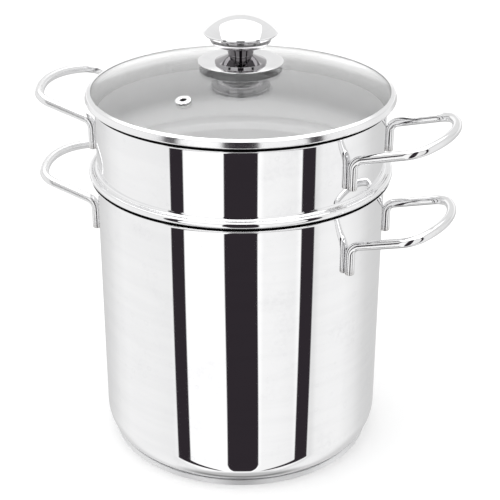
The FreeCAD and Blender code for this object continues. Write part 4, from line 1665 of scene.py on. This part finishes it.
@dataclass
class LidKnob:
    """The knob on its plate, and what clamps it to the glass."""

    finishes: Finishes
    lid: GlassLid
    bore: float = 2.7
    plate_radius: float = 32.0
    plate_thickness: float = 0.8
    plate_lift: float = 0.45
    plate_flat: float = 20.5
    plate_bend: float = 4.0
    plate_dish: float = 6.0
    gasket_radius: float = 20.0
    sheet: float = 0.8
    foot_radius: float = 19.4
    foot_height: float = 5.5
    foot_edge: float = 0.5
    foot_edge_bend: float = 0.9
    foot_top_bend: float = 1.2
    foot_slope: float = 24.0
    stem_height: float = 7.5
    stem_foot: float = 9.3
    stem_top: float = 11.7
    groove: float = 0.7
    bowl_radius: float = 23.5
    bowl_height: float = 7.2
    cap_radius: float = 27.65
    cap_dome: float = 38.7
    cap_rim: float = 1.25
    cap_under: float = 36.0
    cap_lap: float = 0.7
    cap_seat: float = 1.1
    cap_under_bend: float = 1.2
    under_gasket_radius: float = 11.0
    under_gasket: float = 1.5
    under_washer_radius: float = 10.0
    under_washer: float = 1.0
    gasket_rows: int = 12
    gasket_softness: float = 0.05
    gasket_corner_steps: int = 2
    stem_softness: float = 0.15
    under_gasket_softness: float = 0.2
    under_washer_softness: float = 0.15
    segments: int = 160

    @property
    def levels(self) -> dict[str, float]:
        """Heights at which the stacked pieces meet.

        Returns:
            Each height by its name.
        """
        plate_under = float(self.lid.dome_centre + self.lid.dome_radius + self.plate_lift)
        plate_top = plate_under + self.plate_thickness
        foot_top = plate_top + self.foot_height
        stem_top = foot_top + self.stem_height
        glass_under = float(self.lid.dome_height(self.under_gasket_radius, -self.lid.glass_thickness))
        gasket_top = glass_under - self.lid.bedding
        gasket_foot = gasket_top - self.under_gasket
        return {"plate_under": plate_under, "plate_top": plate_top,
                "foot_top": foot_top, "stem_top": stem_top, "bowl_top": stem_top + self.bowl_height,
                "gasket_top": gasket_top, "gasket_foot": gasket_foot,
                "washer_foot": gasket_foot - self.under_washer}

    def flat_ring(self, radius: float, low: float, high: float, softness: float) -> Section:
        """Outline of a flat ring round the screw."""
        return soft_outline([(self.bore, low), (radius, low), (radius, high), (self.bore, high)], softness)

    def cap_sheet(self, base: float) -> BentSheet:
        """Draws the domed cap in section, from its seat on the bowl to its top.

        Args:
            base: Height of the seat.

        Returns:
            The sheet.
        """
        rim_centre = self.cap_radius - self.cap_rim
        dome = math.degrees(math.asin(rim_centre / (self.cap_dome - self.cap_rim)))
        sheet = BentSheet(self.bowl_radius - self.cap_lap, base, 0.0, self.sheet)
        sheet.run_to_radius(self.bowl_radius + self.cap_seat).bend(self.cap_under_bend, self.cap_under)
        sheet.run_to_radius(rim_centre + self.cap_rim * sin_of(self.cap_under))
        return sheet.bend(self.cap_rim, HALF_TURN - dome - self.cap_under).bend(self.cap_dome, dome)

    def build(self) -> None:
        """Builds every piece of the knob, from the washer under the glass to the cap."""
        at, steel, silicone = self.levels, "knob_steel", "silicone"
        # the neck and bowl finishes are darker knob mirrors: painted shade under the cap
        mirror, neck, bowl_shaded_mirror = (
            self.finishes.knob_mirror, self.finishes.neck_shaded_mirror, self.finishes.bowl_shaded_mirror)
        square = (self.segments, EdgeCut.SQUARE, EdgeCut.SQUARE)
        low, high = at["plate_under"], at["plate_top"]
        plate = BentSheet(self.bore, low, 0.0, self.plate_thickness)
        plate.run_to_radius(self.plate_flat).bend(self.plate_bend, self.plate_dish)
        plate.run_to_radius(self.plate_radius - self.plate_thickness / 2)
        PieceMesh("knob_plate_dished").revolve_sheet(
            plate, self.segments, EdgeCut.SQUARE, EdgeCut.ROUND).finish("knob_plate", steel, mirror, mirror)
        hollow = self.lid.dome_part(self.bore, self.gasket_radius, self.lid.bedding, self.gasket_rows)
        corners = [*map(tuple, hollow.points), (self.gasket_radius, low), (self.bore, low)]
        cushion = soft_outline(corners, self.gasket_softness, self.gasket_corner_steps)
        PieceMesh("knob_plate_cushion").revolve(cushion, self.segments).finish(
            "knob_plate_gasket", silicone, self.finishes.silicone)
        foot = BentSheet(self.foot_radius, high, UPWARD, self.sheet)
        foot.run(self.foot_edge).bend(self.foot_edge_bend, UPWARD - self.foot_slope)
        foot.run_to_height(at["foot_top"] - self.foot_top_bend * (1 - cos_of(self.foot_slope)))
        foot.bend(self.foot_top_bend, self.foot_slope).run_to_radius(self.bore)
        PieceMesh("knob_foot_flared").revolve_sheet(foot, *square).finish("knob_foot", steel, neck, neck)
        waist, foot_top = self.stem_foot - self.groove, at["foot_top"]
        collar = soft_outline(
            [(self.bore, foot_top), (waist, foot_top), (waist, foot_top + self.groove),
             (self.stem_foot, foot_top + self.groove), (self.stem_top, at["stem_top"]),
             (self.bore, at["stem_top"])], self.stem_softness)
        PieceMesh("knob_collar").revolve(collar, self.segments).finish("knob_stem", steel, neck)
        bowl = BentSheet(self.bore, at["stem_top"], 0.0, self.sheet)
        bowl.run_to_radius(self.bowl_radius - self.bowl_height).bend(self.bowl_height, UPWARD)
        PieceMesh("knob_bowl_pressed").revolve_sheet(bowl, *square).finish(
            "knob_bowl", steel, bowl_shaded_mirror, bowl_shaded_mirror)
        cap = self.cap_sheet(at["bowl_top"])
        PieceMesh("knob_cap_domed").revolve_sheet(
            cap, self.segments, EdgeCut.ROUND, EdgeCut.NONE).finish("knob_cap", steel, mirror, mirror)
        cushion = self.flat_ring(self.under_gasket_radius, at["gasket_foot"], at["gasket_top"],
                                 self.under_gasket_softness)
        PieceMesh("knob_under_cushion").revolve(cushion, self.segments).finish(
            "knob_under_gasket", silicone, self.finishes.silicone)
        washer = self.flat_ring(self.under_washer_radius, at["washer_foot"], at["gasket_foot"],
                                self.under_washer_softness)
        PieceMesh("knob_under_plate").revolve(washer, self.segments).finish(
            "knob_under_washer", "fastener_steel", self.finishes.fastener)
        for node in ("knob_nut", "knob_screw"):
            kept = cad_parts[node]
            kept.data.materials.clear()
            kept.data.materials.append(self.finishes.fastener)


@dataclass(frozen=True)
class DarkCard:
    """A dark card of the studio: where it starts, ends and fades upward, and how its foot moves aside.

    The foot curls by so many degrees for each squared degree below the bend, and drifts by so
    many degrees on its way down the wall.
    """

    start: float
    end: float
    top: float
    fade: float
    curl: float = 0.0
    drift: float = 0.0


@dataclass
class Studio:
    """The white studio that the steel mirrors: floor, walls, dark cards, softbox and lamp.

    Directions are in degrees. The azimuth is 0 towards the camera and positive to its right,
    and the elevation is 0 at the horizon. A tone is the light that comes from a direction, and
    a pair of numbers says where a change of tone starts and ends. The softbox is measured in
    its own plane, by shares of its height above the pot.
    """

    camera_azimuth: float = -66.5
    cards: tuple[DarkCard, ...] = (
        DarkCard(-56.2, -45.0, 46.0, 9.0, 0.018), DarkCard(-13.0, 13.0, 58.0, 9.0, drift=2.0),
        DarkCard(48.4, 59.8, 46.0, 9.0, -0.018))
    card_bend: float = -25.0
    card_drift: Pair = (-36.0, -24.0)
    card_low: float = -63.0
    card_tone: float = 0.029
    card_tint: float = 0.0054
    corner: Pair = (3.5, 16.0)
    corner_fade: Pair = (0.84, 1.16)
    wall_tones: tuple[Pair, ...] = (
        (-180.0, 0.66), (-160.0, 0.67), (-150.0, 0.70), (-134.0, 0.78), (-122.0, 0.88), (-108.0, 0.94),
        (-80.0, 0.93), (-59.0, 0.90), (-45.0, 1.10), (-13.0, 1.12), (14.5, 1.12), (18.0, 0.98), (30.0, 0.97),
        (44.0, 0.93), (48.5, 1.08), (61.0, 0.80), (66.0, 0.92), (76.0, 0.95), (92.0, 0.95), (104.0, 0.88),
        (110.0, 0.84), (116.0, 0.78), (124.0, 0.715), (138.0, 0.675), (150.0, 0.66), (180.0, 0.66))
    rear: Pair = (100.0, 150.0)
    sky_from: Pair = (24.0, 44.0)
    sky_tone: float = 0.80
    rear_sky_tone: float = 0.85
    rear_sky_drop: float = 28.0
    glow_band: tuple[Pair, Pair] = ((-10.0, -4.0), (6.0, 12.0))
    rear_glow: float = 1.08
    floor_to: Pair = (-77.0, -62.0)
    floor_turn: Pair = (75.0, 115.0)
    floor_tone: float = 0.53
    rear_floor_tone: float = 0.26
    softbox_tone: float = 2.2
    softbox_depth: tuple[Pair, Pair] = ((-1.42, -0.92), (0.45, 0.55))
    softbox_width: tuple[Pair, Pair] = ((-0.69, -0.63), (0.63, 0.69))
    least_height: float = 0.001
    diffuse_tone: float = 1.0
    floor_reach: float = 6.0
    floor_grain: float = 3.0
    floor_white: Pair = (0.975, 0.99)
    floor_lift: float = 0.12
    floor_roughness: float = 0.9
    lamp_size: Pair = (1.6, 1.0)
    lamp_power: float = 6.0
    lamp_place: tuple[float, float, float] = (-0.3, -0.5, 1.8)
    lamp_turn: Pair = (-16.0, -9.0)

    def backdrop(self) -> None:
        """Makes the pale floor, which keeps the pot's soft shadow and glows where the camera sees it."""
        corners = self.floor_reach * np.array([[-1, -1, 0], [1, -1, 0], [1, 1, 0], [-1, 1, 0]])
        mesh = bpy.data.meshes.new("studio_floor")
        mesh.from_pydata(corners.tolist(), [], [(0, 1, 2, 3)])
        floor = bpy.data.objects.new("studio_floor", mesh)
        bpy.context.scene.collection.objects.link(floor)
        surface = Surface("white_floor")
        graph = surface.graph
        tone = graph.ramp(graph.noise(surface.place, self.floor_grain), 0.0, 1.0, *self.floor_white)
        seen = graph.node("ShaderNodeLightPath").outputs["Is Camera Ray"]
        surface.put(Base_Color=tone, Roughness=self.floor_roughness, Specular_IOR_Level=0.0,
                    Emission_Color=seen, Emission_Strength=self.floor_lift)
        mesh.materials.append(surface.material)
        floor.visible_glossy = False

    def window(self, graph: Graph, value: Wire, rise: Pair, fall: Pair) -> Wire:
        """Mask that rises smoothly from 0 to 1 over one pair of values and falls over the other."""
        return graph.times(graph.ramp(value, *rise), graph.ramp(value, *fall, 1.0, 0.0))

    def walls(self, graph: Graph, azimuth: Wire) -> Wire:
        """Tone of the walls round the pot, joined in straight lines from the table.

        Args:
            graph: The world's graph.
            azimuth: Direction round the pot.

        Returns:
            The tone.
        """
        share = graph.calc("MULTIPLY_ADD", azimuth, 1 / FULL_TURN, 0.5)
        table = graph.node("ShaderNodeValToRGB", {"Fac": share})
        stops = table.color_ramp.elements
        while len(stops) < len(self.wall_tones):
            stops.new(1.0)
        for stop, (angle, tone) in zip(stops, self.wall_tones):
            stop.position = (angle + HALF_TURN) / FULL_TURN
            stop.color = (tone, tone, tone, 1.0)
        return table.outputs["Color"]

    def room(self, graph: Graph, azimuth: Wire, elevation: Wire) -> Wire:
        """Tone of the empty studio: sky above, walls at the sides and floor below.

        Behind the pot the sky comes lower and the backdrop glows at the horizon.

        Args:
            graph: The world's graph.
            azimuth: Direction round the pot.
            elevation: Direction above the horizon.

        Returns:
            The tone.
        """
        away = graph.calc("ABSOLUTE", azimuth)
        rear = graph.ramp(away, *self.rear)
        sky = graph.blend(rear, self.sky_tone, self.rear_sky_tone)
        lifted = graph.calc("MULTIPLY_ADD", rear, self.rear_sky_drop, elevation)
        tone = graph.blend(graph.ramp(lifted, *self.sky_from), self.walls(graph, azimuth), sky)
        glow = graph.times(rear, self.window(graph, elevation, *self.glow_band))
        tone = graph.blend(glow, tone, self.rear_glow)
        floor = graph.blend(graph.ramp(away, *self.floor_turn), self.floor_tone, self.rear_floor_tone)
        return graph.blend(graph.ramp(elevation, *self.floor_to, 1.0, 0.0), tone, floor)

    def softbox(self, graph: Graph, direction: bpy.types.NodeOutputs) -> Wire:
        """Mask of the softbox above the pot, which a direction (x, y, z) meets at (x / z, y / z).

        Args:
            graph: The world's graph.
            direction: Its parts towards the camera, to its right and up.

        Returns:
            The mask.
        """
        height = graph.calc("MAXIMUM", direction[2], self.least_height)
        depth, width = (graph.calc("DIVIDE", direction[axis], height) for axis in (0, 1))
        return graph.times(self.window(graph, depth, *self.softbox_depth),
                           self.window(graph, width, *self.softbox_width))

    def dark_cards(self, graph: Graph, azimuth: Wire, elevation: Wire) -> Wire:
        """Mask of the dark cards, whose feet curl, drift and end in rounded corners.

        A corner is part of an ellipse: with b the way beside its centre and u the way under
        it, both as shares of its size, the card ends where sqrt(b^2 + u^2) passes 1.

        Args:
            graph: The world's graph.
            azimuth: Direction round the pot.
            elevation: Direction above the horizon.

        Returns:
            The mask.
        """
        wide, tall = self.corner
        below = graph.calc("MAXIMUM", graph.calc("SUBTRACT", self.card_bend, elevation), 0.0)
        below_squared = graph.times(below, below)
        drifted = graph.ramp(elevation, *self.card_drift, 1.0, 0.0)
        under = graph.calc("MULTIPLY_ADD", elevation, -1 / tall, 1 + self.card_low / tall)
        under = graph.calc("MAXIMUM", under, 0.0)
        dark: Value = 0.0
        for card in self.cards:
            half, middle = (card.end - card.start) / 2, (card.start + card.end) / 2
            curled = graph.calc("MULTIPLY_ADD", below_squared, -card.curl, azimuth)
            moved = graph.calc("MULTIPLY_ADD", drifted, -card.drift, curled)
            across = graph.calc("ABSOLUTE", graph.calc("SUBTRACT", moved, middle))
            beside = graph.calc("MULTIPLY_ADD", across, 1 / wide, 1 - half / wide)
            far = graph.length(graph.calc("MAXIMUM", beside, 0.0), under)
            upward = graph.ramp(elevation, card.top - card.fade, card.top + card.fade, 1.0, 0.0)
            mask = graph.times(graph.ramp(far, *self.corner_fade, 1.0, 0.0), upward)
            dark = graph.calc("MAXIMUM", dark, mask)
        return dark

    def world(self) -> None:
        """Builds the surroundings as a function of direction.

        Steel mirrors the room with its softbox and cards. Matt faces and glass get plain white
        light, and the camera sees plain white.
        """
        world = bpy.data.worlds.new("studio_surroundings")
        world.use_nodes = True
        world.node_tree.nodes.clear()
        graph = Graph(world.node_tree)
        turned = graph.node("ShaderNodeVectorRotate", {
            "Vector": graph.node("ShaderNodeTexCoord").outputs["Generated"], "Axis": (0.0, 0.0, 1.0),
            "Angle": math.radians(-self.camera_azimuth)}, rotation_type="AXIS_ANGLE").outputs[0]
        apart = graph.parts(turned)
        azimuth = graph.times(graph.calc("ARCTAN2", apart[1], apart[0]), HALF_TURN / math.pi)
        elevation = graph.times(graph.calc("ARCSINE", apart[2]), HALF_TURN / math.pi)
        tone = self.room(graph, azimuth, elevation)
        tone = graph.blend(self.softbox(graph, apart), tone, self.softbox_tone)
        dark = self.dark_cards(graph, azimuth, elevation)
        tone = graph.blend(dark, tone, self.card_tone)
        path = graph.node("ShaderNodeLightPath").outputs
        tone = graph.blend(path["Is Glossy Ray"], self.diffuse_tone, tone)
        tone = graph.blend(path["Is Transmission Ray"], tone, self.diffuse_tone)
        tone = graph.blend(path["Is Camera Ray"], tone, 1.0)
        mirrored = graph.times(dark, path["Is Glossy Ray"])
        green = graph.calc("MULTIPLY_ADD", mirrored, -self.card_tint, tone)
        colour = graph.node("ShaderNodeCombineColor", {0: tone, 1: green, 2: tone}).outputs[0]
        shade = graph.node("ShaderNodeBackground", {"Color": colour, "Strength": 1.0}).outputs[0]
        graph.node("ShaderNodeOutputWorld", {"Surface": shade})
        bpy.context.scene.world = world

    def lamp(self) -> None:
        """Hangs one broad soft lamp above, which steel does not mirror."""
        light = bpy.data.lights.new("overhead_softbox", "AREA")
        light.shape, light.energy = "RECTANGLE", self.lamp_power
        light.size, light.size_y = self.lamp_size
        lamp = bpy.data.objects.new("overhead_softbox", light)
        lamp.location = self.lamp_place
        lamp.rotation_euler = (*map(math.radians, self.lamp_turn), 0.0)
        lamp.visible_glossy = False
        bpy.context.scene.collection.objects.link(lamp)

    def build(self) -> None:
        """Sets up the floor, the surroundings, the lamp and the view transform."""
        self.backdrop()
        self.world()
        self.lamp()
        bpy.context.scene.view_settings.view_transform = "Standard"


@dataclass(frozen=True)
class PhotoCamera:
    """The camera that took the photo, found from the pot's own circles."""

    distance: float = 0.903
    height: float = 0.583
    heading: float = 23.5
    pitch: float = 25.5
    focal_pixels: float = 1253.0
    image_pixels: float = 500.0
    centre_pixel: float = 240.7
    sensor: float = 36.0
    clip: Pair = (0.05, 30.0)

    def place(self) -> None:
        """Puts the camera beside the pot and makes it the scene's camera."""
        data = bpy.data.cameras.new("photo_camera")
        data.sensor_width = self.sensor
        data.lens = self.focal_pixels / self.image_pixels * self.sensor
        data.shift_x = (self.image_pixels / 2 - self.centre_pixel) / self.image_pixels
        data.clip_start, data.clip_end = self.clip
        camera = bpy.data.objects.new("photo_camera", data)
        side = math.radians(self.heading)
        camera.location = (self.distance * math.sin(side), -self.distance * math.cos(side), self.height)
        camera.rotation_euler = (math.radians(UPWARD - self.pitch), 0.0, side)
        bpy.context.scene.collection.objects.link(camera)
        bpy.context.scene.camera = camera


def main() -> None:
    """Builds the pot, the insert, the lid and the knob in order, then the studio."""
    logging.basicConfig(level=logging.INFO, format="%(name)s: %(message)s")
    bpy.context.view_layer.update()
    PhotoCamera().place()
    finishes = Finishes(Effects())
    pot = StockPot(finishes)
    insert = PastaInsert(finishes, pot)
    lid = GlassLid(finishes, insert)
    for part in (pot, insert, lid, SteamVent(finishes, lid), LidKnob(finishes, lid)):
        part.build()
        LOG.info("%s is built", type(part).__name__)
    Studio().build()


if __name__ == "__main__":
    main()
